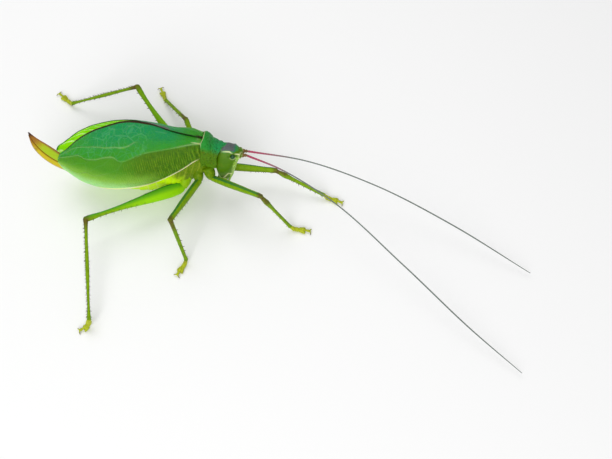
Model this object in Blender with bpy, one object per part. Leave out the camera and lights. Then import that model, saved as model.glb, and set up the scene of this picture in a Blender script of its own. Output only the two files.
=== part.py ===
"""A female true katydid at rest, as a still, life-size museum model: one solid for each named part."""

import math
import random

import bmesh
import bpy
import numpy as np
from mathutils import Matrix, Vector
from mathutils.bvhtree import BVHTree

# Sizes below are millimetres, and each mesh is turned into metres when it is made
MM = 0.001
GAP = 0.3

# The model's own frame stands on the floor, with the middle of its box over the origin
MODEL_CENTRE = Vector((17.65, -9.29, 0.0))

# The body's frame: x runs forward, y to the animal's left, z up, and its origin lies
# under the rear edge of the pronotum
BODY_HEIGHT = 15.8
BODY_PITCH = math.radians(-2.2)
BODY_LEAN = math.radians(-18.0)
BODY = (
    Matrix.Translation(Vector((0.0, 0.0, BODY_HEIGHT)) - MODEL_CENTRE)
    @ Matrix.Rotation(BODY_PITCH, 4, "Y")
    @ Matrix.Rotation(BODY_LEAN, 4, "X")
)
FLOOR = Matrix.Translation(-MODEL_CENTRE)

# Each station of the trunk holds its distance forward, then the height of the back,
# of the underside and of the widest level, and the half width there
PRONOTUM_STATIONS = (
    (0.0, 2.45, -5.5, -1.0, 3.2),
    (1.5, 2.7, -6.1, -1.2, 3.35),
    (2.8, 0.9, -6.3, -1.8, 3.2),
    (3.9, 0.0, -6.2, -2.3, 2.95),
    (5.3, -0.35, -6.0, -2.8, 2.75),
    (6.5, -0.5, -6.0, -3.0, 2.7),
)
PRONOTUM_SQUARENESS = 2.2

# The neck is one slanting cut: the pronotum's collar behind it, the head before it
NECK_TOP = Vector((5.2, 0.0, -0.6))
NECK_SLOPE = math.radians(22.0)

# Thorax under the wing roots, and the abdomen behind it
THORAX_STATIONS = (
    (-0.3, 1.2, -7.4, -2.6, 3.0),
    (-2.5, 1.5, -8.6, -2.8, 3.2),
    (-5.5, 1.9, -9.4, -3.2, 3.7),
    (-9.5, 2.3, -9.8, -3.6, 4.0),
)
ABDOMEN_STATIONS = (
    (-9.8, 2.2, -10.2, -4.2, 4.0),
    (-13.5, 2.0, -12.2, -5.2, 4.2),
    (-18.0, 1.4, -12.4, -5.2, 4.1),
    (-23.0, 0.2, -11.7, -5.2, 3.7),
    (-27.5, -2.4, -10.7, -5.4, 3.0),
    (-30.0, -4.4, -10.0, -6.8, 2.2),
)
TRUNK_SQUARENESS = 2.2

# Head: height, front, back and half width of each level from crown to mouth
HEAD_LEVELS = (
    (-0.4, 7.4, 5.0, 0.7),
    (-0.85, 8.4, 4.4, 1.45),
    (-1.6, 9.0, 4.0, 2.05),
    (-2.6, 8.9, 3.7, 2.5),
    (-4.5, 8.15, 3.3, 2.8),
    (-6.4, 7.5, 3.1, 2.45),
    (-7.9, 6.95, 3.3, 1.8),
    (-8.9, 6.5, 3.7, 1.35),
)
HEAD_SQUARENESS = 2.3

EYE_CENTRE = Vector((7.35, 2.25, -1.85))
EYE_RADIUS = 0.75
SCAPE_ROOT = Vector((9.0, 0.85, -2.3))
SCAPE_TIP = Vector((10.5, 0.8, -2.35))
SCAPE_RADIUS = 0.5
SOCKET_LENGTH = 1.2
SOCKET_RADIUS = 0.68

# Mouthparts under the head
LABRUM_TOP = -9.2
LABRUM_TIP = -10.5
PALP_RADIUS = 0.26

# Tegmina: one station for each place along the wing, forward of the body's origin.
# Each holds the dorsal margin's height and offset, the widest level and half width,
# the costal margin's height and offset, and how flat the dorsal field lies (degrees)
TEGMEN_THICKNESS = 0.5
TEGMEN_STATIONS = (
    (-0.7, 2.4, 0.5, -0.2, 3.7, -1.7, 3.6, 85.0),
    (-3.0, 2.8, 0.5, -0.5, 4.1, -3.5, 3.9, 82.0),
    (-7.0, 3.9, 0.5, -1.3, 5.1, -5.9, 4.5, 72.0),
    (-12.0, 5.6, 0.4, -2.3, 6.3, -8.4, 4.6, 50.0),
    (-18.0, 5.7, 0.3, -3.1, 7.1, -10.2, 4.3, 38.0),
    (-24.0, 3.6, 0.5, -3.5, 6.9, -10.8, 3.8, 42.0),
    (-29.5, 0.4, 0.8, -3.9, 5.5, -9.6, 3.0, 55.0),
    (-33.3, -2.4, 1.1, -4.3, 3.5, -7.3, 2.1, 65.0),
    (-35.2, -4.0, 1.5, -4.6, 2.1, -5.3, 1.6, 75.0),
)
COSTAL_TURN = math.radians(55.0)

# Main veins, each a ridge along one line: shares of the way to the tip and to the costal edge
VEIN_LINES = (
    ((0.0, 0.1), (0.2, 0.155), (0.36, 0.17), (0.5, 0.21), (0.6, 0.19), (0.74, 0.15), (1.0, 0.1)),
    ((0.0, 0.18), (0.11, 0.24), (0.24, 0.27), (0.46, 0.33), (0.57, 0.28), (0.74, 0.29), (0.86, 0.22), (1.0, 0.19)),
    ((0.0, 0.47), (0.3, 0.5), (0.6, 0.48), (0.7, 0.53), (0.75, 0.5), (0.84, 0.54), (1.0, 0.5)),
)
ROWS_BEFORE_VEIN = (0, 0, 2)
ROWS_BEFORE_EDGE = 3
VEIN_RISE = 0.22
VEIN_SPREAD = 0.35
COSTAL_RISE = 0.12

# The left tegmen lies over the right one in front, and stands above it behind
OVERLAP_FRONT = 1.5
OVERLAP_END = -14.0
LEFT_RISE_FRONT = 0.8
LEFT_RISE_MIDDLE = 0.1
LEFT_RISE_REAR = 1.2

# Ovipositor: a blade bent along one arc, in two valves
OVIPOSITOR_ROOT = Vector((-30.3, 0.0, -7.7))
OVIPOSITOR_RADIUS = 12.5
OVIPOSITOR_START = math.radians(7.0)
OVIPOSITOR_TURN = math.radians(72.0)
OVIPOSITOR_WIDTH = 4.2
OVIPOSITOR_THICKNESS = 1.5

CERCUS_ROOT = Vector((-30.4, 1.6, -5.6))
CERCUS_LENGTH = 2.4
CERCUS_RADIUS = 0.5

# Legs: where the hip and the coxa's root lie in the body's frame on the left side, then
# lengths; half depth and half width along each segment
LEG_SIZES = {
    "fore": {"hip": (2.0, 2.5, -8.0), "socket": (1.2, 1.9, -5.3), "femur": 14.7, "tibia": 13.4},
    "mid": {"hip": (-1.0, 3.2, -8.4), "socket": (-1.4, 1.5, -6.5), "femur": 14.9, "tibia": 12.5},
    "hind": {"hip": (-5.1, 3.2, -10.4), "socket": (-4.3, 1.4, -8.4), "femur": 24.0, "tibia": 23.7},
}
FEMUR_SHAPES = {
    "fore": ((0.0, 0.62, 0.55), (0.2, 0.84, 0.66), (0.6, 0.8, 0.62), (0.9, 0.62, 0.55), (1.0, 0.52, 0.5)),
    "mid": ((0.0, 0.66, 0.6), (0.2, 0.82, 0.66), (0.6, 0.78, 0.62), (0.9, 0.62, 0.56), (1.0, 0.52, 0.5)),
    "hind": ((0.0, 0.95, 0.85), (0.1, 1.35, 1.1), (0.22, 1.45, 1.15), (0.35, 1.3, 1.05), (0.5, 0.95, 0.82),
             (0.68, 0.6, 0.56), (0.88, 0.6, 0.55), (1.0, 0.62, 0.55)),
}
TIBIA_SHAPES = {
    "fore": ((0.0, 0.5, 0.48), (0.1, 0.56, 0.52), (0.2, 0.66, 0.62), (0.34, 0.48, 0.44), (0.7, 0.42, 0.4),
             (1.0, 0.42, 0.4)),
    "mid": ((0.0, 0.5, 0.48), (0.12, 0.48, 0.46), (0.5, 0.42, 0.4), (1.0, 0.42, 0.4)),
    "hind": ((0.0, 0.52, 0.5), (0.08, 0.5, 0.48), (0.5, 0.46, 0.42), (1.0, 0.4, 0.38)),
}
# Each leg's ankle on the floor plan, the way its foot points, and how its knee leans
STANCE = {
    "fore_r": {"ankle": (21.35, -12.85, 1.5), "tarsus": 5.0, "heading": -5.0, "lean": 11.0},
    "fore_l": {"ankle": (29.05, -3.45, 1.5), "tarsus": 4.9, "heading": -17.0, "lean": -50.0},
    "mid_r": {"ankle": (-2.45, -23.2, 1.5), "tarsus": 4.2, "heading": -117.0, "lean": 19.0},
    "mid_l": {"ankle": (-13.5, 23.45, 1.5), "tarsus": 5.2, "heading": 115.0, "lean": 35.0},
    "hind_r": {"ankle": (-21.95, -40.62, 3.6), "tarsus": 4.2, "heading": -151.0, "lean": 74.0},
    "hind_l": {"ankle": (-37.65, 21.1, 1.5), "tarsus": 6.0, "heading": 140.0, "lean": 34.0},
}
COXA_RADIUS = 1.0

# Tarsus: distance along it, half width, underside and top; the pads lie flat on the floor.
# An ankle above its usual height leads down to them at a steep slope
FLAT_ANKLE = 1.5
FOOT_SLOPE = math.radians(58.0)
TARSUS_STATIONS = (
    (0.12, 0.44, 0.3, 1.55),
    (0.2, 0.48, 0.0, 1.35),
    (0.36, 0.5, 0.0, 1.15),
    (0.42, 0.42, 0.2, 1.0),
    (0.48, 0.62, 0.0, 1.05),
    (0.6, 0.88, 0.0, 1.05),
    (0.7, 0.72, 0.0, 0.95),
    (0.75, 0.32, 0.3, 0.85),
    (0.93, 0.27, 0.28, 0.8),
)
CLAW_REACH = 0.85
CLAW_RADIUS = 0.2

# Rows of spines: degrees round from the side a limb folds to, first and last place along
# it, count and length
SPINE_ROWS = {
    "femur_fore": ((25.0, 0.5, 0.93, 5, 0.5),),
    "femur_mid": ((25.0, 0.5, 0.93, 5, 0.5),),
    "femur_hind": ((30.0, 0.42, 0.93, 7, 0.6),),
    "tibia_fore": ((28.0, 0.36, 0.92, 4, 0.5), (-28.0, 0.4, 0.94, 4, 0.5)),
    "tibia_mid": ((28.0, 0.3, 0.92, 4, 0.5), (-28.0, 0.36, 0.94, 4, 0.5)),
    "tibia_hind": ((148.0, 0.08, 0.93, 17, 0.55), (-148.0, 0.1, 0.95, 17, 0.55)),
}
SPINE_RADIUS = 0.2
SPINE_LEAN = math.radians(28.0)
SPINE_SEED = 11

# Antennae: places that each feeler passes through on its way down to the floor
FEELER_ROUTES = {
    "l": ((24.3, -1.3, 12.8), (40.4, -4.9, 9.6), (59.2, -12.3, 5.4), (78.0, -22.1, 1.3)),
    "r": (
        (18.1, -4.0, 13.2), (30.2, -10.2, 10.8), (47.9, -24.4, 6.6), (63.7, -38.4, 3.3), (74.5, -47.0, 1.3),
    ),
}
FEELER_RADII = ((0.0, 0.3), (0.15, 0.27), (0.9, 0.25), (1.0, 0.15))
FEELER_LENGTHS = 3

BODY_SIDES = 20
LEG_SIDES = 8
FEELER_SIDES = 6

# Colour, roughness and metallic value of each finish
FINISHES = {
    "leaf_green": ((0.07, 0.3, 0.08), 0.45, 0.0),
    "olive_green": ((0.12, 0.26, 0.02), 0.45, 0.0),
    "belly_green": ((0.26, 0.5, 0.02), 0.5, 0.0),
    "leg_green": ((0.14, 0.34, 0.02), 0.42, 0.0),
    "foot_olive": ((0.3, 0.34, 0.05), 0.5, 0.0),
    "blade_amber": ((0.42, 0.22, 0.02), 0.35, 0.0),
    "eye_green": ((0.02, 0.12, 0.03), 0.2, 0.0),
    "mouth_cream": ((0.5, 0.55, 0.2), 0.45, 0.0),
    "feeler_crimson": ((0.5, 0.03, 0.1), 0.45, 0.0),
    "feeler_grey": ((0.16, 0.22, 0.2), 0.5, 0.0),
}


def clear_scene():
    for item in list(bpy.data.objects):
        bpy.data.objects.remove(item, do_unlink=True)


def finish(name):
    """The finish's material, made on first use."""
    material = bpy.data.materials.get(name)
    if material is None:
        colour, roughness, metallic = FINISHES[name]
        material = bpy.data.materials.new(name)
        material.use_nodes = True
        shader = material.node_tree.nodes["Principled BSDF"]
        shader.inputs["Base Color"].default_value = (*colour, 1.0)
        shader.inputs["Roughness"].default_value = roughness
        shader.inputs["Metallic"].default_value = metallic
    return material


def smooth(stations, place):
    """Values at a place, on a smooth curve through stations of (place, value, ...)."""
    table = np.array(stations, float)
    places, values = table[:, 0], table[:, 1:]
    if places[0] > places[-1]:
        places, values = places[::-1], values[::-1]
    slopes = np.gradient(values, places, axis=0)
    i = int(np.clip(np.searchsorted(places, place) - 1, 0, len(places) - 2))
    span = places[i + 1] - places[i]
    t = (np.clip(place, places[0], places[-1]) - places[i]) / span
    start = (1 + 2 * t) * (1 - t) ** 2 * values[i] + t * (1 - t) ** 2 * span * slopes[i]
    end = t * t * (3 - 2 * t) * values[i + 1] - t * t * (1 - t) * span * slopes[i + 1]
    return start + end


def mesh_object(name, points, faces, frame, finish_name):
    """A closed mesh from points in millimetres, with its faces turned outwards."""
    form = bmesh.new()
    corners = [form.verts.new(frame @ Vector(point) * MM) for point in points]
    for face in faces:
        form.faces.new([corners[i] for i in face])
    if form.calc_volume(signed=True) < 0:
        bmesh.ops.reverse_faces(form, faces=form.faces)
    mesh = bpy.data.meshes.new(name)
    form.to_mesh(mesh)
    form.free()
    mesh.shade_smooth()
    mesh.set_sharp_from_angle(angle=math.radians(40.0))
    mesh.materials.append(finish(finish_name))
    item = bpy.data.objects.new(name, mesh)
    bpy.context.scene.collection.objects.link(item)
    return item


def loft(rings):
    """Points and faces of a closed form through rings of equal counts, capped by fans."""
    sides = len(rings[0])
    points = [point for ring in rings for point in ring]
    faces = []
    for row in range(len(rings) - 1):
        for side in range(sides):
            near = row * sides + side
            next_near = row * sides + (side + 1) % sides
            faces.append((near, next_near, next_near + sides))
            faces.append((near, next_near + sides, near + sides))
    for row, turn in ((0, -1), (len(rings) - 1, 1)):
        middle = len(points)
        points.append(sum((Vector(point) for point in rings[row]), Vector()) / sides)
        first = row * sides
        for side in range(sides):
            edge = (first + side, first + (side + 1) % sides)
            faces.append((middle, *edge[::turn]))
    return points, faces


def round_section(squareness, sides, turn=0.0):
    """Unit points of a rounded outline, from a circle at 2 to a squarer form above it."""
    outline = []
    for side in range(sides):
        angle = 2 * math.pi * side / sides + turn
        cosine, sine = math.cos(angle), math.sin(angle)
        outline.append((
            math.copysign(abs(cosine) ** (2 / squareness), cosine),
            math.copysign(abs(sine) ** (2 / squareness), sine),
        ))
    return outline


def trunk_ring(x, top, bottom, half_width, widest, squareness):
    """A cross-section of the trunk at one place along the body."""
    ring = []
    for across, up in round_section(squareness, BODY_SIDES):
        height = top - widest if up > 0 else widest - bottom
        ring.append(Vector((x, across * half_width, widest + up * height)))
    return ring


def trunk(name, stations, squareness, count, finish_name):
    """A part of the trunk, lofted along the body through its stations."""
    rings = []
    for x in np.linspace(stations[0][0], stations[-1][0], count):
        top, bottom, widest, half_width = smooth(stations, x)
        rings.append(trunk_ring(x, top, bottom, half_width, widest, squareness))
    points, faces = loft(rings)
    return mesh_object(name, points, faces, BODY, finish_name)


def cut_flat(item, point, normal):
    """Keep the side of an object that a plane's normal points away from, and close it."""
    form = bmesh.new()
    form.from_mesh(item.data)
    parts = form.verts[:] + form.edges[:] + form.faces[:]
    cut = bmesh.ops.bisect_plane(form, geom=parts, plane_co=point, plane_no=normal, clear_outer=True)
    rim = [part for part in cut["geom_cut"] if isinstance(part, bmesh.types.BMEdge)]
    cap = bmesh.ops.contextual_create(form, geom=rim)["faces"]
    bmesh.ops.triangulate(form, faces=cap)
    form.to_mesh(item.data)
    form.free()


def neck_plane(shift):
    """A point and the forward normal of the neck's cut, moved along the normal."""
    normal = Vector((math.cos(NECK_SLOPE), 0.0, -math.sin(NECK_SLOPE)))
    point = BODY @ (NECK_TOP + normal * shift) * MM
    return point, BODY.to_3x3() @ normal


def carve(item, cutter):
    """Cut one object's form out of another, and drop the cutter."""
    cut = item.modifiers.new("Cut", "BOOLEAN")
    cut.operation = "DIFFERENCE"
    cut.object = cutter
    settle(item)
    bpy.data.objects.remove(cutter, do_unlink=True)


def settle(item):
    """Apply an object's modifiers and keep its largest closed surface."""
    bpy.context.view_layer.update()
    shape = item.evaluated_get(bpy.context.evaluated_depsgraph_get())
    mesh = bpy.data.meshes.new_from_object(shape)
    item.modifiers.clear()
    item.data = mesh
    form = bmesh.new()
    form.from_mesh(mesh)
    bmesh.ops.triangulate(form, faces=form.faces)
    surfaces = []
    unseen = set(form.verts)
    while unseen:
        front = [unseen.pop()]
        surface = list(front)
        while front:
            corner = front.pop()
            for edge in corner.link_edges:
                other = edge.other_vert(corner)
                if other in unseen:
                    unseen.remove(other)
                    front.append(other)
                    surface.append(other)
        surfaces.append(surface)
    surfaces.sort(key=len)
    for scrap in surfaces[:-1]:
        bmesh.ops.delete(form, geom=scrap, context="VERTS")
    form.to_mesh(mesh)
    form.free()


def fuse(item, pieces):
    """Join closed pieces to an object by one union."""
    gathered = bpy.data.collections.new(item.name + "_pieces")
    bpy.context.scene.collection.children.link(gathered)
    for piece in pieces:
        bpy.context.scene.collection.objects.unlink(piece)
        gathered.objects.link(piece)
    union = item.modifiers.new("Union", "BOOLEAN")
    union.operation = "UNION"
    union.solver = "MANIFOLD"
    union.operand_type = "COLLECTION"
    union.collection = gathered
    settle(item)
    for piece in pieces:
        bpy.data.objects.remove(piece, do_unlink=True)
    bpy.data.collections.remove(gathered)


def ball(name, centre, radius, frame, finish_name, rows=8, sides=14):
    """A ball with its poles along the frame's y axis."""
    rings = []
    for row in range(1, rows):
        angle = math.pi * row / rows
        reach = radius * math.sin(angle)
        across = radius * math.cos(angle)
        rings.append([
            centre + Vector((reach * math.cos(turn), across, reach * math.sin(turn)))
            for turn in (2 * math.pi * side / sides for side in range(sides))
        ])
    points, faces = loft(rings)
    points[-2] = centre + Vector((0.0, radius, 0.0))
    points[-1] = centre - Vector((0.0, radius, 0.0))
    return mesh_object(name, points, faces, frame, finish_name)


def surface_of(item):
    """A search tree over an object's surface, in millimetres of the model's frame."""
    form = bmesh.new()
    form.from_mesh(item.data)
    bmesh.ops.scale(form, vec=Vector((1 / MM,) * 3), verts=form.verts)
    tree = BVHTree.FromBMesh(form)
    form.free()
    return tree


def limb_rings(start, end, depth_axis, shape, sides, first_plane=None, last_plane=None):
    """Rings along a straight segment, whose end rings lie on given planes."""
    along = (end - start).normalized()
    depth = (depth_axis - along * depth_axis.dot(along)).normalized()
    width = along.cross(depth)
    rings = []
    for place, half_depth, half_width in shape:
        centre = start.lerp(end, place)
        rings.append([
            centre + depth * (up * half_depth) + width * (across * half_width)
            for across, up in round_section(2.0, sides, math.pi / sides)
        ])
    for ring, plane in ((rings[0], first_plane), (rings[-1], last_plane)):
        if plane is not None:
            point, normal = plane
            for i, corner in enumerate(ring):
                ring[i] = corner + along * ((point - corner).dot(normal) / along.dot(normal))
    return rings


def make_spines(limb, start, end, depth_axis, shape, chance):
    """Small spines in rows along a limb, sunk into it and fused with it."""
    kind = "_".join(limb.name.split("_")[:2])
    along = (end - start).normalized()
    depth = (depth_axis - along * depth_axis.dot(along)).normalized()
    width = along.cross(depth)
    pieces = []
    for degrees, first, last, count, length in SPINE_ROWS[kind]:
        for number in range(count):
            place = first + (last - first) * (number + chance.uniform(-0.15, 0.15)) / (count - 1)
            place = min(max(place, first), last)
            half_depth, half_width = smooth(shape, place)
            turn = math.radians(degrees)
            out = depth * math.cos(turn) + width * math.sin(turn)
            side = along.cross(out)
            skin = start.lerp(end, place) + (
                depth * (math.cos(turn) * half_depth) + width * (math.sin(turn) * half_width))
            lean = SPINE_LEAN * chance.uniform(0.8, 1.2)
            lead = out * math.cos(lean) + along * math.sin(lean)
            rise = length * chance.uniform(0.8, 1.1)
            rings = [
                [
                    centre + (along * math.cos(corner) + side * math.sin(corner)) * radius
                    for corner in (math.pi / 2 * quarter for quarter in range(4))
                ]
                for centre, radius in (
                    (skin - out * (0.6 * half_depth), SPINE_RADIUS),
                    (skin + lead * (rise * 0.3), SPINE_RADIUS * 0.75),
                    (skin + lead * rise, SPINE_RADIUS * 0.22),
                )
            ]
            points, faces = loft(rings)
            pieces.append(mesh_object("spine", points, faces, Matrix.Identity(4), "leg_green"))
    fuse(limb, pieces)


def rest_rings_on(rings, surface):
    """Slide a limb's first ring back along it until it lies a gap above a surface."""
    middle = sum(rings[0], Vector()) / len(rings[0])
    back = (middle - sum(rings[-1], Vector()) / len(rings[-1])).normalized()
    start = sum(rings[-1], Vector()) / len(rings[-1]) - middle
    for i, corner in enumerate(rings[0]):
        hit, normal, _, _ = surface.ray_cast(corner + start, back)
        if hit is not None:
            rings[0][i] = hit - back * (GAP / max(abs(back.dot(normal)), 0.5))
    return rings


def mitre(before, joint, after):
    """The plane through a joint that halves the bend between two segments."""
    normal = ((joint - before).normalized() + (after - joint).normalized()).normalized()
    return joint, normal


def shifted(plane, distance):
    point, normal = plane
    return point + normal * distance, normal


def leg_joints(leg):
    """Coxa root, hip, knee, ankle and foot tip of a leg, in the model's frame."""
    pair, side = leg.split("_")
    sizes, stance = LEG_SIZES[pair], STANCE[leg]
    mirror = Matrix.Scale(1 if side == "l" else -1, 4, Vector((0.0, 1.0, 0.0)))
    socket = BODY @ mirror @ Vector(sizes["socket"])
    hip = BODY @ mirror @ Vector(sizes["hip"])
    ankle = FLOOR @ Vector(stance["ankle"])
    reach = ankle - hip
    span = reach.length
    axis = reach / span
    upward = (Vector((0, 0, 1)) - axis * axis.z).normalized()
    sideways = axis.cross(upward)
    along = (sizes["femur"] ** 2 - sizes["tibia"] ** 2 + span ** 2) / (2 * span)
    rise = math.sqrt(sizes["femur"] ** 2 - along ** 2)
    lean = math.radians(stance["lean"])
    knee = hip + axis * along + (upward * math.cos(lean) + sideways * math.sin(lean)) * rise
    heading = math.radians(stance["heading"])
    toe = ankle + Vector((math.cos(heading), math.sin(heading), 0.0)) * stance["tarsus"]
    toe.z = 0.5
    return socket, hip, knee, ankle, toe


def foot_path(ankle, along, distance):
    """Where a foot's middle line runs over the floor, its lift, and how far it slopes down."""
    raised = ankle.z - FLAT_ANKLE
    slope_length = raised / math.sin(FOOT_SLOPE)
    sloping = min(distance, slope_length)
    reach = sloping * math.cos(FOOT_SLOPE) + distance - sloping
    slope = 0.0
    if raised > 0:
        slope = FOOT_SLOPE * min(max((slope_length - distance) / 0.5 + 0.3, 0.0), 1.0)
    place = Vector((ankle.x, ankle.y, raised - sloping * math.sin(FOOT_SLOPE))) + along * reach
    return place, slope


def tarsus_rings(ankle, toe, length, first_plane):
    """Rings of a foot, whose pads lie flat on the floor."""
    along = Vector((toe.x - ankle.x, toe.y - ankle.y, 0.0)).normalized()
    across = Vector((-along.y, along.x, 0.0))
    upright = Vector((0.0, 0.0, 1.0))
    outline = round_section(3.0, LEG_SIDES, math.pi / LEG_SIDES)
    highest = max(rise for _, rise in outline)
    outline = [(side, rise / highest) for side, rise in outline]
    heel = [(0.0, 0.4, FLAT_ANKLE - 0.42, FLAT_ANKLE + 0.42)]
    rings = []
    for share, half_width, under, top in heel + list(TARSUS_STATIONS):
        place, slope = foot_path(ankle, along, share * length)
        up = upright * math.cos(slope) + along * math.sin(slope)
        middle = place + upright * ((under + top) / 2)
        rings.append([
            middle + across * (side * half_width) + up * (rise * (top - under) / 2)
            for side, rise in outline
        ])
        if share == 0.0:
            lead = along * math.cos(slope) - upright * math.sin(slope)
    point, normal = first_plane
    for i, corner in enumerate(rings[0]):
        rings[0][i] = corner + lead * ((point - corner).dot(normal) / lead.dot(normal))
    return rings, along, across


def claw(name, root, along, across, side):
    """One hooked claw, spreading sideways from the foot's tip."""
    tip = root + along * 0.35 + across * (side * CLAW_REACH) - Vector((0, 0, root.z - 0.12))
    bend = root + along * 0.42 + across * (side * CLAW_REACH * 0.5) + Vector((0, 0, 0.05))
    inner = root - along * 0.25
    rings = []
    for place, radius in ((inner, 1.0), (bend, 0.85), (tip, 0.3)):
        direction = (tip - root).normalized()
        up = Vector((0, 0, 1))
        wide = direction.cross(up).normalized()
        rings.append([
            place + (up * math.sin(turn) + wide * math.cos(turn)) * CLAW_RADIUS * radius
            for turn in (math.pi / 2 * quarter + 0.4 for quarter in range(4))
        ])
    points, faces = loft(rings)
    return mesh_object(name, points, faces, Matrix.Identity(4), "foot_olive")


def make_leg(leg, trunk_surface, chance):
    """Coxa, femur, tibia and tarsus of one leg, meeting on mitred faces."""
    pair, _ = leg.split("_")
    socket, hip, knee, ankle, toe = leg_joints(leg)
    identity = Matrix.Identity(4)
    bend_axis = (knee - hip).cross(ankle - knee).normalized()
    femur_depth = bend_axis.cross(knee - hip)
    tibia_depth = bend_axis.cross(ankle - knee)
    hip_plane = mitre(socket, hip, knee)
    knee_plane = mitre(hip, knee, ankle)
    ankle_plane = mitre(knee, ankle, toe)

    radius = COXA_RADIUS * (1.15 if pair == "hind" else 1.0)
    root_depth, root_width = FEMUR_SHAPES[pair][0][1:]
    shape = ((0.0, radius, radius), (0.6, radius * 0.95, radius * 0.9), (1.0, root_depth, root_width))
    rings = limb_rings(socket, hip, femur_depth, shape, LEG_SIDES, None, shifted(hip_plane, -GAP / 2))
    points, faces = loft(rest_rings_on(rings, trunk_surface))
    mesh_object("coxa_" + leg, points, faces, identity, "leg_green")

    rings = limb_rings(hip, knee, femur_depth, FEMUR_SHAPES[pair], LEG_SIDES,
                       shifted(hip_plane, GAP / 2), shifted(knee_plane, -GAP / 2))
    points, faces = loft(rings)
    femur = mesh_object("femur_" + leg, points, faces, identity, "leg_green")
    make_spines(femur, hip, knee, femur_depth, FEMUR_SHAPES[pair], chance)

    rings = limb_rings(knee, ankle, tibia_depth, TIBIA_SHAPES[pair], LEG_SIDES,
                       shifted(knee_plane, GAP / 2), shifted(ankle_plane, -GAP / 2))
    points, faces = loft(rings)
    tibia = mesh_object("tibia_" + leg, points, faces, identity, "leg_green")
    make_spines(tibia, knee, ankle, tibia_depth, TIBIA_SHAPES[pair], chance)

    length = STANCE[leg]["tarsus"]
    rings, along, across = tarsus_rings(ankle, toe, length, shifted(ankle_plane, GAP / 2))
    points, faces = loft(rings)
    foot = mesh_object("tarsus_" + leg, points, faces, identity, "foot_olive")
    root = foot_path(ankle, along, length * 0.93)[0]
    root.z = 0.55
    fuse(foot, [claw("claw", root, along, across, side) for side in (-1, 1)])


def tegmen_point(side, u, v):
    """A point of a tegmen's outer face: u runs from root to tip, v from back to costal edge."""
    first, last = TEGMEN_STATIONS[0][0], TEGMEN_STATIONS[-1][0]
    x = first + (last - first) * u
    rise, offset, widest, half_width, low, low_offset, flatness = smooth(TEGMEN_STATIONS, x)
    turn = math.radians(flatness)
    if side > 0:
        over = float(np.clip((x - OVERLAP_END) / (first - OVERLAP_END), 0.0, 1.0)) ** 0.5
        offset -= OVERLAP_FRONT * over
        behind = float(np.clip((OVERLAP_END - x) / 12.0, 0.0, 1.0))
        behind *= float(np.clip((x - last) / 6.0, 0.0, 1.0)) * 0.7 + 0.3
        middle = (1 - over) * (1 - behind)
        rise += LEFT_RISE_FRONT * over + LEFT_RISE_MIDDLE * middle + LEFT_RISE_REAR * behind
    share = 0.45
    if v < share:
        angle = turn * (1 - v / share)
        out = (math.cos(angle) - math.cos(turn)) / (1 - math.cos(turn))
        up = math.sin(angle) / math.sin(turn)
        y = offset + (half_width - offset) * out
        z = widest + (rise - widest) * up
    else:
        angle = COSTAL_TURN * (v - share) / (1 - share)
        back = (1 - math.cos(angle)) / (1 - math.cos(COSTAL_TURN))
        down = math.sin(angle) / math.sin(COSTAL_TURN)
        y = half_width + (low_offset - half_width) * back
        z = widest + (low - widest) * down
    return Vector((x, side * y, z))


def tegmen_normal(side, u, v):
    """The outward normal of a tegmen's outer face."""
    step = 0.004
    u0, u1 = max(u - step, 0.0), min(u + step, 1.0)
    v0, v1 = max(v - step, 0.0), min(v + step, 1.0)
    along = tegmen_point(side, u1, v) - tegmen_point(side, u0, v)
    down = tegmen_point(side, u, v1) - tegmen_point(side, u, v0)
    return along.cross(down).normalized() * side


def wing_rows(side, u):
    """Rows down a tegmen at one place along it: each is a share of the way and a rise.

    Each main vein takes three rows, two at its feet and a raised one on its crest.
    The costal edge is a vein too, and ends the wing at its crest."""
    drop = [tegmen_point(side, u, step / 8) for step in range(9)]
    depth = sum((after - before).length for before, after in zip(drop, drop[1:]))
    spread = min(VEIN_SPREAD / depth, 0.03)
    fade = min(u / 0.06, (1 - u) / 0.06, 1.0)
    lines = [float(smooth(line, u)[0]) for line in VEIN_LINES]
    rows = [(0.0, 0.0)]
    for number, line in enumerate(lines):
        before = rows[-1][0]
        for step in range(ROWS_BEFORE_VEIN[number]):
            share = (step + 1) / (ROWS_BEFORE_VEIN[number] + 1)
            rows.append((before + (line - spread - before) * share, 0.0))
        rows += [(line - spread, 0.0), (line, VEIN_RISE * fade), (line + spread, 0.0)]
    before, foot = rows[-1][0], 1.0 - spread
    for step in range(ROWS_BEFORE_EDGE):
        rows.append((before + (foot - before) * (step + 1) / (ROWS_BEFORE_EDGE + 1), 0.0))
    return rows + [(foot, 0.0), (1.0, COSTAL_RISE * fade)]


def make_tegmen(name, side):
    """A cupped fore wing of even thickness, as a closed shell with its main veins raised."""
    columns = [math.sin(math.pi / 2 * step / 18) ** 0.9 for step in range(19)]
    outer, inner = [], []
    for u in columns:
        rows = wing_rows(side, u)
        for v, rise in rows:
            point = tegmen_point(side, u, v)
            normal = tegmen_normal(side, u, v)
            outer.append(point + normal * rise)
            inner.append(point - normal * TEGMEN_THICKNESS)
    points = outer + inner
    wide = len(rows)
    shift = len(outer)
    faces = []
    for column in range(len(columns) - 1):
        for row in range(wide - 1):
            a = column * wide + row
            b, c, d = a + 1, a + wide + 1, a + wide
            faces += [(a, b, c), (a, c, d)]
            faces += [(shift + a, shift + c, shift + b), (shift + a, shift + d, shift + c)]
    rim = [row for row in range(wide)]
    rim += [column * wide + wide - 1 for column in range(1, len(columns))]
    rim += [(len(columns) - 1) * wide + row for row in range(wide - 2, -1, -1)]
    rim += [column * wide for column in range(len(columns) - 2, 0, -1)]
    for i, a in enumerate(rim):
        b = rim[(i + 1) % len(rim)]
        faces += [(a, shift + a, shift + b), (a, shift + b, b)]
    return mesh_object(name, points, faces, BODY, "leaf_green")


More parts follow.
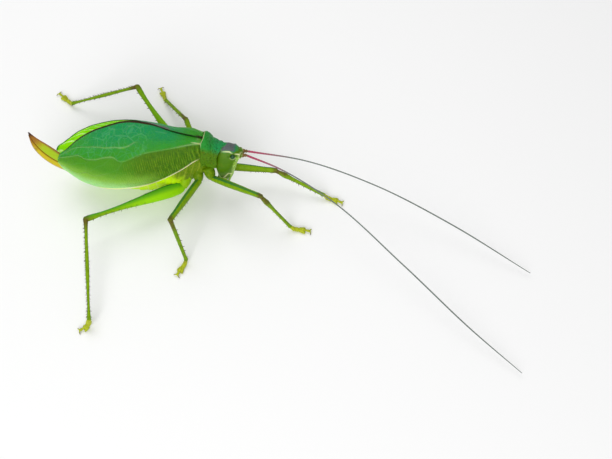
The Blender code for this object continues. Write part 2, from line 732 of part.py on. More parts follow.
def ovipositor_place(s):
    """Centre, backward direction and half width of the blade at a share of its length."""
    angle = OVIPOSITOR_START + OVIPOSITOR_TURN * s
    centre = OVIPOSITOR_ROOT + OVIPOSITOR_RADIUS * Vector((
        math.sin(OVIPOSITOR_START) - math.sin(angle), 0.0, math.cos(OVIPOSITOR_START) - math.cos(angle)))
    outward = Vector((math.sin(angle), 0.0, math.cos(angle)))
    half = OVIPOSITOR_WIDTH / 2 * max(1 - s ** 2.8, 0.0) ** 0.8
    return centre, outward, half


def make_valve(name, upper):
    """The upper or lower half of the ovipositor's blade."""
    rings = []
    for s in np.linspace(0.0, 0.985 if upper else 0.95, 10):
        centre, outward, half = ovipositor_place(s)
        thick = OVIPOSITOR_THICKNESS / 2 * (1 - 0.75 * s)
        seam = centre - outward * (half * 0.1)
        if upper:
            inner = seam + outward * GAP / 2
            edge = centre + outward * max(half, 0.45)
        else:
            inner = seam - outward * GAP / 2
            edge = centre - outward * max(half, 0.62)
        across = Vector((0.0, thick, 0.0))
        rings.append([
            inner + across,
            inner.lerp(edge, 0.6) + across * 0.85,
            edge + across * 0.25,
            edge - across * 0.25,
            inner.lerp(edge, 0.6) - across * 0.85,
            inner - across,
        ])
    points, faces = loft(rings)
    return mesh_object(name, points, faces, BODY, "blade_amber")


def make_head():
    """The head capsule with bowls for the eyes, and all that it carries."""
    rings = []
    for height, front, back, half_width in HEAD_LEVELS:
        middle, half = (front + back) / 2, (front - back) / 2
        rings.append([
            Vector((middle + along * half, across * half_width, height))
            for along, across in round_section(HEAD_SQUARENESS, BODY_SIDES)
        ])
    points, faces = loft(rings)
    head = mesh_object("head", points, faces, BODY, "olive_green")
    point, normal = neck_plane(GAP / 2)
    cut_flat(head, point, -normal)
    for side, tag in ((1, "l"), (-1, "r")):
        centre = Vector((EYE_CENTRE.x, side * EYE_CENTRE.y, EYE_CENTRE.z))
        carve(head, ball("bowl", centre, EYE_RADIUS + GAP, BODY, "olive_green"))
        ball("eye_" + tag, centre, EYE_RADIUS, BODY, "eye_green")
    upright = BODY.to_3x3() @ Vector((0, 0, 1))
    sockets = []
    for side in (1, -1):
        mouth = Vector((SCAPE_ROOT.x + 0.2, side * SCAPE_ROOT.y, SCAPE_ROOT.z))
        start = mouth - Vector((SOCKET_LENGTH, 0.0, 0.0))
        shape = ((0.0, SOCKET_RADIUS, SOCKET_RADIUS), (0.75, SOCKET_RADIUS, SOCKET_RADIUS),
                 (1.0, SOCKET_RADIUS * 0.8, SOCKET_RADIUS * 0.8))
        points, faces = loft(limb_rings(BODY @ start, BODY @ mouth, upright, shape, 10))
        sockets.append(mesh_object("socket", points, faces, Matrix.Identity(4), "olive_green"))
    fuse(head, sockets)
    surface = surface_of(head)
    for side, tag in ((1, "l"), (-1, "r")):
        tip = BODY @ Vector((SCAPE_TIP.x, side * SCAPE_TIP.y, SCAPE_TIP.z))
        shape = ((0.0, 0.5, 0.5), (1.0, SCAPE_RADIUS * 0.8, SCAPE_RADIUS * 0.8))
        start = BODY @ Vector((SCAPE_ROOT.x + 0.8, side * SCAPE_ROOT.y, SCAPE_ROOT.z))
        rings = limb_rings(start, tip, upright, shape, 10)
        points, faces = loft(rest_rings_on(rings, surface))
        mesh_object("scape_" + tag, points, faces, Matrix.Identity(4), "feeler_crimson")
    make_mouth(surface)


def make_mouth(head_surface):
    """Labrum, jaws and feeding palps under the head."""
    labrum = []
    for height, half_width, front, back in (
        (LABRUM_TOP, 1.1, 6.5, 5.6), (-10.0, 1.05, 6.2, 5.5), (LABRUM_TIP, 0.6, 5.9, 5.4),
    ):
        middle, half = (front + back) / 2, (front - back) / 2
        labrum.append([
            Vector((middle + along * half, across * half_width, height))
            for along, across in round_section(2.6, 12)
        ])
    points, faces = loft(labrum)
    mesh_object("labrum", points, faces, BODY, "mouth_cream")
    for side, tag in ((1, "l"), (-1, "r")):
        jaw = []
        for height, inner, outer, front, back in (
            (LABRUM_TOP, 0.15, 1.25, 5.3, 4.0), (-9.9, 0.15, 1.15, 5.15, 4.1), (-10.5, 0.15, 0.8, 5.1, 4.3),
        ):
            middle, half = (front + back) / 2, (front - back) / 2
            centre, wide = (inner + outer) / 2, (outer - inner) / 2
            jaw.append([
                Vector((middle + along * half, side * (centre + across * wide), height))
                for along, across in round_section(2.6, 10)
            ])
        points, faces = loft(jaw)
        mesh_object("jaw_" + tag, points, faces, BODY, "mouth_cream")
        for kind, root, knee, tip in (
            ("maxillary", (4.3, 1.6, -9.2), (4.1, 1.8, -9.9), (5.1, 1.6, -10.7)),
            ("labial", (3.3, 0.9, -9.2), (3.0, 1.1, -10.1), (3.9, 0.9, -10.9)),
        ):
            places = [BODY @ Vector((x, side * y, z)) for x, y, z in (root, knee, tip)]
            rings = []
            for i, (place, radius) in enumerate(zip(places, (1.0, 1.0, 1.1))):
                before = places[max(i - 1, 0)]
                after = places[min(i + 1, 2)]
                along = (after - before).normalized()
                wide = along.orthogonal().normalized()
                deep = along.cross(wide)
                rings.append([
                    place + (wide * math.cos(turn) + deep * math.sin(turn)) * PALP_RADIUS * radius
                    for turn in (2 * math.pi * corner / 6 for corner in range(6))
                ])
            points, faces = loft(rings)
            mesh_object(kind + "_palp_" + tag, points, faces, Matrix.Identity(4), "mouth_cream")


def make_feeler(tag, side):
    """A long feeler from its socket down to the floor, in a few lengths."""
    socket = BODY @ Vector((SCAPE_TIP.x, side * SCAPE_TIP.y, SCAPE_TIP.z))
    lead = (BODY.to_3x3() @ (SCAPE_TIP - SCAPE_ROOT)).normalized()
    route = [socket + lead * GAP] + [FLOOR @ Vector(place) for place in FEELER_ROUTES[tag]]
    distance = [0.0]
    for before, after in zip(route, route[1:]):
        distance.append(distance[-1] + (after - before).length)
    total = distance[-1]
    stations = [(place / total, *point) for place, point in zip(distance, route)]
    share = 1 / FEELER_LENGTHS
    for number in range(FEELER_LENGTHS):
        start = number * share + (GAP / 2 / total if number else 0.0)
        end = (number + 1) * share - (GAP / 2 / total if number < FEELER_LENGTHS - 1 else 0.0)
        rings = []
        for s in np.linspace(start, end, 11):
            place = Vector(smooth(stations, s))
            before = Vector(smooth(stations, s - 0.002))
            after = Vector(smooth(stations, s + 0.002))
            along = (after - before).normalized()
            wide = along.cross(Vector((0, 0, 1))).normalized()
            deep = wide.cross(along)
            radius = float(smooth(FEELER_RADII, s)[0])
            rings.append([
                place + (wide * math.cos(turn) + deep * math.sin(turn)) * radius
                for turn in (2 * math.pi * k / FEELER_SIDES for k in range(FEELER_SIDES))
            ])
        points, faces = loft(rings)
        finish_name = "feeler_grey" if number else "feeler_crimson"
        mesh_object("feeler_%s_%d" % (tag, number + 1), points, faces, Matrix.Identity(4), finish_name)


def make_cerci():
    for side, tag in ((1, "l"), (-1, "r")):
        root = BODY @ Vector((CERCUS_ROOT.x, side * CERCUS_ROOT.y, CERCUS_ROOT.z))
        tip = BODY @ Vector((
            CERCUS_ROOT.x - CERCUS_LENGTH, side * (CERCUS_ROOT.y - 0.3), CERCUS_ROOT.z + 0.5))
        shape = ((0.0, 1.0, 1.0), (0.6, 0.7, 0.7), (1.0, 0.3, 0.3))
        shape = [(place, wide * CERCUS_RADIUS, deep * CERCUS_RADIUS) for place, wide, deep in shape]
        rings = limb_rings(root, tip, Vector((0, 0, 1)), shape, 8)
        points, faces = loft(rings)
        mesh_object("cercus_" + tag, points, faces, Matrix.Identity(4), "belly_green")


def main():
    clear_scene()
    pronotum = trunk("pronotum", PRONOTUM_STATIONS, PRONOTUM_SQUARENESS, 9, "leaf_green")
    point, normal = neck_plane(-GAP / 2)
    cut_flat(pronotum, point, normal)
    thorax = trunk("thorax", THORAX_STATIONS, TRUNK_SQUARENESS, 7, "belly_green")
    trunk("abdomen", ABDOMEN_STATIONS, TRUNK_SQUARENESS, 11, "belly_green")
    pronotum_surface = surface_of(pronotum)
    thorax_surface = surface_of(thorax)
    make_head()
    for tag, side in (("l", 1), ("r", -1)):
        make_feeler(tag, side)
        make_tegmen("tegmen_" + tag, side)
    make_valve("ovipositor_upper", True)
    make_valve("ovipositor_lower", False)
    make_cerci()
    chance = random.Random(SPINE_SEED)
    for leg in STANCE:
        make_leg(leg, pronotum_surface if leg.startswith("fore") else thorax_surface, chance)


main()
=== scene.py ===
"""Dresses a female true katydid at rest: shield, head, wings, legs, feelers, floor, light and camera."""

import math

import bpy
import numpy as np
from mathutils import Matrix, Vector


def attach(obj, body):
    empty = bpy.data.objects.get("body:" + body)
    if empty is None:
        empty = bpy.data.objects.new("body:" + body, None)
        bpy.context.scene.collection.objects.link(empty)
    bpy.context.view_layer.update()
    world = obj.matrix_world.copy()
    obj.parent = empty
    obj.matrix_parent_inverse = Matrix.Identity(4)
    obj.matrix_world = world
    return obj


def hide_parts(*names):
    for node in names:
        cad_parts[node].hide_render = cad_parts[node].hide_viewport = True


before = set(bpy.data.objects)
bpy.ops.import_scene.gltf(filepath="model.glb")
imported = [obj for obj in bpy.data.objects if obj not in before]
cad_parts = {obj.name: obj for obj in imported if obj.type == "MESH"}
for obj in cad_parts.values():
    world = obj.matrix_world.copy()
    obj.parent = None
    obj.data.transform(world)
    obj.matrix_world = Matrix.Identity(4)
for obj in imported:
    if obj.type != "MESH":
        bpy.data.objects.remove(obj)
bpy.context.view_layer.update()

# Shapes are worked out in millimetres and turned into metres when a mesh is made
MM = 0.001
MODEL_CENTRE = np.array((17.65, -9.29, 0.0))
UPRIGHT = np.array((0.0, 0.0, 1.0))
# Which way along y the animal's left and right sides lie
SIDES = {"l": 1, "r": -1}

# The body's frame: x forward, y to the animal's left, z up, under the shield's rear edge
BODY_PLACE = np.array((0.0, 0.0, 15.8)) - MODEL_CENTRE
BODY_PITCH = math.radians(-2.2)
BODY_ROLL = math.radians(-18.0)
BODY_TURN = np.array(Matrix.Rotation(BODY_PITCH, 3, "Y") @ Matrix.Rotation(BODY_ROLL, 3, "X"))

# Along the body: place, top, bottom, height of the widest place and half width
PRONOTUM_STATIONS = (
    (0.0, 2.45, -5.5, -1.0, 3.2),
    (1.5, 2.7, -6.1, -1.2, 3.35),
    (2.8, 1.0, -6.3, -1.8, 3.2),
    (3.9, 0.45, -6.2, -2.3, 2.95),
    (5.3, 0.2, -6.0, -2.8, 2.75),
    (6.5, 0.05, -6.0, -3.0, 2.7),
)
NECK_TOP = np.array((5.2, 0.0, -0.6))
NECK_SLOPE = math.radians(22.0)
TRUNK_STATIONS = (
    (0.9, 1.2, -6.7, -2.6, 2.6),
    (-0.3, 1.2, -7.9, -2.6, 3.0),
    (-2.5, 1.5, -9.3, -2.8, 3.25),
    (-5.5, 1.9, -10.7, -3.4, 4.1),
    (-9.5, 2.3, -11.8, -4.4, 4.5),
    (-13.5, 2.0, -12.7, -5.4, 4.5),
    (-18.0, 1.4, -12.8, -5.2, 4.3),
    (-23.0, 0.2, -11.7, -5.2, 3.7),
    (-27.5, -2.4, -10.7, -5.4, 3.0),
    (-30.2, -4.5, -10.0, -6.8, 2.1),
    (-30.9, -5.6, -9.4, -7.2, 1.4),
)
# Seams over the thorax, by place and width, then where the belly's plates start and how long each is
TRUNK_SEAMS = ((0.9, 0.14), (-0.5, 0.1), (-1.9, 0.16), (-3.2, 0.1), (-4.4, 0.16), (-6.0, 0.12))
BELLY_FRONT = -9.0
BELLY_PLATE = 2.35

# Down the head: height, front, back and half width
HEAD_LEVELS = (
    (0.05, 6.3, 5.1, 0.3),
    (-0.12, 6.9, 4.7, 1.0),
    (-0.45, 7.6, 4.4, 1.45),
    (-0.85, 8.4, 4.2, 1.75),
    (-1.6, 9.0, 3.5, 2.15),
    (-2.6, 8.9, 3.2, 2.5),
    (-4.5, 8.15, 3.0, 2.8),
    (-6.4, 7.5, 3.1, 2.5),
    (-7.9, 6.95, 3.3, 1.85),
    (-8.9, 6.5, 3.7, 1.4),
    (-9.15, 6.2, 4.0, 1.1),
)
# Lines on the left half of the head, which the right half mirrors: grooves, then pale brow and jaw lines
HEAD_GROOVES = (
    ((6.9, 2.35, -1.7), (6.2, 2.3, -1.95)),
    ((8.3, 2.0, -2.7), (7.9, 2.24, -3.2), (7.35, 2.33, -4.5), (6.9, 1.95, -6.4), (6.75, 1.6, -7.2)),
    ((7.6, 0.0, -6.9), (7.4, 1.1, -7.0), (6.8, 1.6, -7.3)),
    ((7.9, 0.0, -4.9), (7.8, 0.8, -5.0)),
    ((3.7, 1.9, -8.2), (5.0, 1.8, -8.1), (6.0, 2.3, -6.7), (6.8, 1.6, -7.3)),
)
BROW_LINE = ((4.7, 1.75, -0.8), (5.6, 1.75, -0.75), (6.7, 1.7, -0.8), (7.1, 1.9, -1.0), (7.7, 2.0, -1.2),
             (8.4, 1.5, -1.6), (9.0, 1.15, -1.9))
JAW_LINE = ((3.4, 1.8, -6.6), (3.6, 1.6, -7.6), (3.9, 1.35, -8.6), (4.6, 1.5, -8.6), (5.05, 1.8, -8.2),
            (6.05, 2.25, -6.65), (6.7, 1.5, -7.4))
HORN_PLACE = (9.0, 0.0, -1.75)
CHEEK_PLACE = (6.0, 2.5, -5.0)
EYE_CENTRE = np.array((7.4, 2.2, -1.9))
EYE_RADIUS = 0.5
SCAPE_ROOT = np.array((9.0, 0.85, -2.3))
SCAPE_TIP = np.array((10.5, 0.8, -2.35))
# Feeding palps: the joints that each passes through, then its half thickness
PALPS = (
    (((4.4, 1.35, -8.6), (4.2, 1.75, -9.3), (4.1, 1.95, -9.9), (4.5, 1.9, -10.4), (5.2, 1.65, -10.75)), 0.25),
    (((3.4, 0.7, -8.7), (3.2, 0.95, -9.4), (3.1, 1.1, -10.1), (3.5, 1.05, -10.6), (4.0, 0.9, -10.95)), 0.22),
)

# Along the wing: place, height and offset of the upper edge, height and half width of the widest place,
# height and offset of the lower edge, and degrees that the upper part turns through
TEGMEN_STATIONS = (
    (-0.7, 2.4, 0.5, -0.2, 3.7, -1.7, 3.6, 85.0),
    (-3.0, 2.8, 0.5, -0.5, 4.1, -3.5, 3.9, 82.0),
    (-7.0, 3.9, 0.5, -1.3, 5.1, -5.9, 4.5, 72.0),
    (-12.0, 5.6, 0.4, -2.3, 6.3, -8.4, 4.6, 50.0),
    (-18.0, 5.7, 0.3, -3.1, 7.1, -10.2, 4.3, 38.0),
    (-24.0, 3.6, 0.5, -3.5, 6.9, -10.8, 3.8, 42.0),
    (-29.5, 0.4, 0.8, -3.9, 5.5, -9.6, 3.0, 55.0),
    (-33.3, -2.4, 1.1, -4.3, 3.5, -7.5, 2.1, 65.0),
    (-34.6, -3.2, 1.3, -4.6, 2.6, -6.6, 1.8, 70.0),
    (-35.2, -4.2, 1.5, -4.8, 2.1, -5.3, 1.6, 75.0),
)
# How far each wing's upper edge is lifted over its stations, and its tip moved
EDGE_LIFTS = {
    "l": ((-35.2, -0.2), (-33.0, 0.15), (-30.0, 0.5), (-27.0, 0.4), (-24.0, 0.25), (-20.0, 0.1),
          (-14.0, 0.0), (-0.7, 0.0)),
    "r": ((-35.2, 0.3), (-32.0, 0.4), (-28.0, 0.65), (-25.0, 0.65), (-21.0, 0.4), (-18.0, 0.5),
          (-14.0, 0.45), (-9.0, 0.1), (-0.7, 0.0)),
}
TIP_SHIFTS = {"l": -0.8, "r": 0.5}
COSTAL_TURN = math.radians(55.0)
OVERLAP_FRONT = 1.5
OVERLAP_END = -14.0
LEFT_RISE_FRONT = 0.5
LEFT_RISE_MIDDLE = 0.1
LEFT_RISE_REAR = 1.2
# Main veins: shares of the way to the tip and to the costal edge, then width in mm
SECOND_VEIN = ((0.0, 0.1), (0.2, 0.155), (0.36, 0.17), (0.41, 0.18), (0.44, 0.2), (0.5, 0.21), (0.53, 0.2),
               (0.6, 0.19), (0.66, 0.17), (0.74, 0.15), (0.81, 0.12), (1.0, 0.1))
RADIAL_VEIN = ((0.0, 0.18), (0.05, 0.21), (0.11, 0.24), (0.24, 0.27), (0.36, 0.29), (0.41, 0.31),
               (0.45, 0.33), (0.51, 0.33), (0.545, 0.29), (0.6, 0.28), (0.69, 0.295), (0.75, 0.28),
               (0.79, 0.235), (0.86, 0.22), (1.0, 0.19))
LOWER_VEIN = ((0.0, 0.47), (0.3, 0.5), (0.6, 0.48), (0.65, 0.51), (0.71, 0.54), (0.745, 0.49),
              (0.81, 0.545), (0.9, 0.53), (1.0, 0.5))
# Cross veins that close the larger cells, in the same shares
CROSS_VEINS = (
    ((0.54, 0.1), (0.5, 0.11), (0.45, 0.12), (0.43, 0.14), (0.405, 0.175)),
    ((0.6, 0.08), (0.595, 0.19)),
    ((0.5, 0.11), (0.508, 0.14), (0.507, 0.21)),
    ((0.664, 0.09), (0.657, 0.17)),
    ((0.586, 0.03), (0.579, 0.08), (0.6, 0.08), (0.614, 0.12), (0.664, 0.09), (0.7, 0.07)),
    ((0.54, 0.1), (0.545, 0.05), (0.586, 0.03)),
    ((0.457, 0.06), (0.45, 0.04), (0.414, 0.03), (0.393, 0.045), (0.371, 0.055), (0.35, 0.03)),
    ((0.45, 0.12), (0.464, 0.08), (0.457, 0.06)),
    ((0.371, 0.055), (0.36, 0.1), (0.33, 0.12), (0.32, 0.165)),
    ((0.36, 0.1), (0.405, 0.12), (0.43, 0.14)),
    ((0.72, 0.155), (0.73, 0.21), (0.715, 0.295)),
    ((0.57, 0.195), (0.58, 0.24), (0.565, 0.285)),
    ((0.47, 0.205), (0.46, 0.26), (0.475, 0.33)),
    ((0.34, 0.17), (0.35, 0.23), (0.33, 0.285)),
    ((0.715, 0.295), (0.75, 0.34), (0.807, 0.34), (0.857, 0.38), (0.92, 0.36)),
    ((0.56, 0.285), (0.62, 0.36), (0.66, 0.38), (0.745, 0.49)),
    ((0.48, 0.33), (0.52, 0.42), (0.6, 0.48)),
    ((0.75, 0.34), (0.745, 0.41), (0.77, 0.52)),
    ((0.65, 0.51), (0.69, 0.6), (0.76, 0.68), (0.84, 0.7)),
    ((0.71, 0.54), (0.75, 0.59), (0.83, 0.62), (0.9, 0.6)),
    ((0.52, 0.42), (0.56, 0.57), (0.64, 0.7), (0.7, 0.8)),
    ((0.2, 0.045), (0.27, 0.06)),
)

OVIPOSITOR_ROOT = np.array((-30.3, 0.0, -7.7))
OVIPOSITOR_RADIUS = 12.5
OVIPOSITOR_START = math.radians(7.0)
OVIPOSITOR_TURN = math.radians(72.0)
OVIPOSITOR_WIDTH = 4.2
OVIPOSITOR_THICKNESS = 1.5
CERCUS_ROOT = np.array((-30.4, 1.6, -5.6))

LEG_SIZES = {
    "fore": {"hip": (2.0, 2.5, -8.0), "socket": (1.2, 1.9, -5.3), "femur": 14.7, "tibia": 13.4},
    "mid": {"hip": (-1.0, 3.2, -8.4), "socket": (-1.4, 1.5, -6.5), "femur": 14.9, "tibia": 12.5},
    "hind": {"hip": (-5.1, 3.2, -10.4), "socket": (-4.3, 1.4, -8.4), "femur": 24.0, "tibia": 23.7},
}
# Along each limb: place, half depth and half width, rounded at both ends
FEMUR_SHAPES = {
    "fore": ((-0.02, 0.45, 0.4), (0.0, 0.68, 0.62), (0.05, 0.8, 0.72), (0.2, 0.95, 0.8), (0.6, 0.88, 0.74),
             (0.88, 0.68, 0.6), (0.96, 0.7, 0.6), (1.0, 0.62, 0.54), (1.035, 0.44, 0.38),
             (1.045, 0.12, 0.12)),
    "mid": ((-0.02, 0.5, 0.45), (0.0, 0.8, 0.74), (0.05, 0.86, 0.8), (0.2, 0.92, 0.8), (0.6, 0.86, 0.74),
            (0.88, 0.68, 0.6), (0.96, 0.7, 0.6), (1.0, 0.62, 0.54), (1.035, 0.44, 0.38),
            (1.045, 0.12, 0.12)),
    "hind": ((-0.02, 0.6, 0.5), (0.0, 1.05, 0.85), (0.03, 1.38, 1.05), (0.1, 1.62, 1.2), (0.22, 1.58, 1.2),
             (0.35, 1.34, 1.04), (0.5, 0.96, 0.82), (0.68, 0.62, 0.58), (0.88, 0.58, 0.54),
             (0.95, 0.72, 0.58), (0.985, 0.7, 0.56), (1.015, 0.5, 0.42), (1.025, 0.15, 0.12)),
}
TIBIA_SHAPES = {
    "fore": ((-0.045, 0.12, 0.12), (-0.035, 0.38, 0.36), (0.0, 0.54, 0.5), (0.06, 0.5, 0.46),
             (0.12, 0.58, 0.54), (0.2, 0.68, 0.64), (0.3, 0.54, 0.5), (0.38, 0.48, 0.44), (0.7, 0.44, 0.4),
             (0.95, 0.44, 0.42), (1.0, 0.44, 0.44), (1.02, 0.25, 0.25)),
    "mid": ((-0.045, 0.12, 0.12), (-0.035, 0.38, 0.36), (0.0, 0.54, 0.5), (0.1, 0.5, 0.48),
            (0.5, 0.46, 0.44), (0.95, 0.44, 0.42), (1.0, 0.44, 0.44), (1.02, 0.25, 0.25)),
    "hind": ((-0.022, 0.12, 0.12), (-0.016, 0.38, 0.34), (0.0, 0.56, 0.5), (0.05, 0.48, 0.44),
             (0.5, 0.45, 0.42), (0.96, 0.42, 0.4), (0.99, 0.48, 0.48), (1.0, 0.46, 0.46),
             (1.01, 0.25, 0.25)),
}
# Each pair's coxa: along it, half depth and half width
COXA_SHAPES = {
    "fore": ((-0.15, 0.3, 0.3), (-0.05, 1.2, 1.2), (0.25, 1.4, 1.3), (0.7, 1.3, 1.2), (0.92, 1.05, 0.95),
             (1.08, 0.7, 0.65), (1.16, 0.2, 0.2)),
    "mid": ((-0.15, 0.3, 0.3), (-0.05, 1.1, 1.1), (0.25, 1.3, 1.25), (0.7, 1.25, 1.15), (0.92, 1.0, 0.95),
            (1.08, 0.75, 0.7), (1.16, 0.2, 0.2)),
    "hind": ((-0.15, 0.3, 0.3), (-0.05, 1.3, 1.3), (0.25, 1.5, 1.4), (0.7, 1.35, 1.2), (0.92, 1.1, 0.95),
             (1.08, 0.85, 0.75), (1.16, 0.2, 0.2)),
}
# How far a thigh bows back from the line between hip and knee
FEMUR_BOWS = {"hind_l": 1.1}
# How much of the dark back edge shows on the paler far legs
BACK_TINTS = {"mid_l": 0.7, "hind_l": 0.25}
# Each leg's ankle, the length and heading of its foot, and how far its knee leans over, in degrees
STANCE = {
    "fore_r": {"ankle": (21.35, -12.85, 1.5), "tarsus": 5.0, "heading": -5.0, "lean": 11.0},
    "fore_l": {"ankle": (29.05, -3.45, 1.5), "tarsus": 4.9, "heading": -17.0, "lean": -50.0},
    "mid_r": {"ankle": (-2.45, -23.2, 1.5), "tarsus": 4.2, "heading": -117.0, "lean": 19.0},
    "mid_l": {"ankle": (-13.5, 23.45, 1.5), "tarsus": 5.2, "heading": 115.0, "lean": 35.0},
    "hind_r": {"ankle": (-21.95, -40.62, 3.6), "tarsus": 4.2, "heading": -151.0, "lean": 74.0},
    "hind_l": {"ankle": (-37.65, 21.1, 1.5), "tarsus": 6.0, "heading": 140.0, "lean": 34.0},
}
FLAT_ANKLE = 1.5
FOOT_SLOPE = math.radians(58.0)
# Lengths of a foot: place along it, half width, underside and top
FOOT_PARTS = (
    ((-0.06, 0.1, 1.3, 1.5), (-0.03, 0.34, 1.1, 1.9), (0.04, 0.42, 0.75, 1.85), (0.12, 0.44, 0.12, 1.55),
     (0.2, 0.46, 0.0, 1.25), (0.24, 0.2, 0.2, 0.95)),
    ((0.2, 0.18, 0.3, 1.0), (0.23, 0.42, 0.05, 1.2), (0.3, 0.48, 0.0, 1.15), (0.38, 0.5, 0.0, 1.05),
     (0.43, 0.3, 0.2, 0.85)),
    ((0.52, 0.1, 0.7, 0.95), (0.56, 0.24, 0.62, 1.15), (0.75, 0.24, 0.42, 0.98), (0.92, 0.28, 0.3, 0.86),
     (0.98, 0.2, 0.34, 0.72), (1.0, 0.06, 0.45, 0.6)),
)
FOOT_LOBE = ((0.38, 0.12, 0.25, 0.8), (0.43, 0.3, 0.06, 1.0), (0.55, 0.4, 0.0, 1.02),
             (0.66, 0.42, 0.0, 0.9), (0.72, 0.28, 0.02, 0.6), (0.74, 0.08, 0.15, 0.35))
# Rows of spines: degrees round from the side a limb folds to, first and last place, count, length
SPINE_ROWS = {
    "femur_fore": ((25.0, 0.5, 0.93, 6, 0.45), (-25.0, 0.6, 0.93, 4, 0.35)),
    "femur_mid": ((25.0, 0.5, 0.93, 6, 0.45), (-25.0, 0.6, 0.93, 4, 0.35)),
    "femur_hind": ((30.0, 0.42, 0.93, 9, 0.5), (-30.0, 0.5, 0.93, 7, 0.4)),
    "tibia_fore": ((28.0, 0.34, 0.95, 6, 0.5), (-28.0, 0.36, 0.96, 6, 0.5), (150.0, 0.5, 0.98, 3, 0.35)),
    "tibia_mid": ((28.0, 0.28, 0.95, 6, 0.5), (-28.0, 0.32, 0.96, 6, 0.5), (150.0, 0.4, 0.98, 4, 0.35)),
    "tibia_hind": ((148.0, 0.06, 0.96, 24, 0.5), (-148.0, 0.08, 0.97, 24, 0.5), (32.0, 0.3, 0.98, 9, 0.4),
                   (-32.0, 0.34, 0.98, 9, 0.4)),
}
SPINE_LEAN = math.radians(28.0)
SPINE_ROOT = 0.12
HAIR_COUNTS = {"fore": 170, "mid": 170, "hind": 260}
SCAPE_RADII = ((0.0, 0.3), (0.1, 0.42), (0.3, 0.5), (0.55, 0.5), (0.68, 0.36), (0.74, 0.33), (0.82, 0.38),
               (0.95, 0.33), (1.0, 0.24))
SCAPE_SHARE = 0.03
FEELER_ROUTES = {
    "l": ((24.3, -1.3, 12.8), (40.4, -4.9, 9.6), (59.2, -12.3, 5.4), (78.0, -22.1, 1.3)),
    "r": ((18.1, -4.0, 13.2), (30.2, -10.2, 10.8), (47.9, -24.4, 6.6), (63.7, -38.4, 3.3),
          (74.5, -47.0, 1.3)),
}
FEELER_RADII = ((0.0, 0.27), (0.03, 0.24), (0.12, 0.175), (0.35, 0.155), (0.9, 0.13), (1.0, 0.08))
FEELER_RINGS_PER_MM = 1.5
SEED = 23

# The photo's view, from above and the animal's right, and soft studio light
CAMERA_PLACE = np.array((31.2, -121.1, 188.0))
CAMERA_LEAD = Vector((-0.028, 0.5, -0.866))
SENSOR_WIDTH = 36.0
PHOTO_WIDTH_PX = 612.0
FOCAL_LENGTH_PX = 900.0
LAMPS = (
    ("key", (-0.12, 0.2, 0.42), 0.34, 0.8),
    ("fill", (-0.05, -0.5, 0.4), 0.45, 2.6),
)
SKY_STRENGTH = 0.43
FLOOR_REACH = 1.5

# Colours that paints share, or that need a name
OLIVE = (0.08, 0.2, 0.003)
LEAF = (0.12, 0.3, 0.006)
CREAM = (0.8, 0.8, 0.42)
MAROON = (0.1, 0.032, 0.015)
PLUM_GREY = (0.115, 0.13, 0.13)


def smooth(stations, places):
    """Values at many places on a smooth curve through stations of (place, value, ...)."""
    table = np.array(stations, float)
    if table[0, 0] > table[-1, 0]:
        table = table[::-1]
    at, values = table[:, 0], table[:, 1:]
    slopes = np.gradient(values, at, axis=0)
    places = np.clip(np.asarray(places, float), at[0], at[-1])
    i = np.clip(np.searchsorted(at, places) - 1, 0, len(at) - 2)
    span = (at[i + 1] - at[i])[..., None]
    t = (places - at[i])[..., None] / span
    start = (1 + 2 * t) * (1 - t) ** 2 * values[i] + t * (1 - t) ** 2 * span * slopes[i]
    end = t * t * (3 - 2 * t) * values[i + 1] - t * t * (1 - t) * span * slopes[i + 1]
    return start + end


def in_model(points):
    """Body-frame points, in the model's frame."""
    return np.asarray(points, float) @ BODY_TURN.T + BODY_PLACE


def unit(leads):
    """Vectors of length one."""
    return leads / np.maximum(np.linalg.norm(leads, axis=-1, keepdims=True), 1e-9)


def vectors(*parts):
    """A vector for each place, from a grid of each of its parts."""
    return np.stack(np.broadcast_arrays(*parts), -1)


def bell(distance, width):
    """One at nought, falling smoothly to nothing a few widths away."""
    return np.exp(-(distance / width) ** 2)


def ramp(values, low, high):
    """Nought below low, one above high, smooth between."""
    t = np.clip((values - low) / (high - low), 0.0, 1.0)
    return t * t * (3 - 2 * t)


def around(sides):
    """Angles of a full turn, evenly spaced."""
    return np.linspace(0, 2 * math.pi, sides, endpoint=False)


def oval(angles, squareness):
    """Points of a rounded outline at each angle, a circle when squareness is 2."""
    cosine, sine = np.cos(angles), np.sin(angles)
    return (np.sign(cosine) * np.abs(cosine) ** (2 / squareness),
            np.sign(sine) * np.abs(sine) ** (2 / squareness))


def section(stations, x, up):
    """The skin's height where it is up by a share, then the stations' own values."""
    top, bottom, widest, half = np.moveaxis(smooth(stations, x), -1, 0)
    return widest + up * np.where(up > 0, top - widest, widest - bottom), half, top, bottom, widest


def from_place(points, place):
    """Distance of each point from one place."""
    return np.linalg.norm(points - np.array(place), axis=-1)


def from_line(points, line):
    """Distance of each point from a broken line."""
    best = np.full(points.shape[:-1], 1e9)
    for a, b in zip(np.array(line), np.array(line[1:])):
        share = np.clip((points - a) @ (b - a) / ((b - a) @ (b - a)), 0.0, 1.0)
        best = np.minimum(best, np.linalg.norm(points - (a + share[..., None] * (b - a)), axis=-1))
    return best


def lumps(points, size, salt=0.0):
    """Smooth random values from -1 to 1 over space, with lumps of one size."""
    cell = points / size
    base = np.floor(cell)
    share = cell - base
    share = share * share * (3 - 2 * share)
    total = np.zeros(cell.shape[:-1])
    for corner in np.ndindex(2, 2, 2):
        lattice = np.sin((base + corner) @ np.array((127.1, 311.7, 74.7)) + salt) * 43758.5453
        weight = np.prod(np.where(np.array(corner) == 1, share, 1 - share), -1)
        total += (lattice - np.floor(lattice)) * weight
    return total * 2 - 1


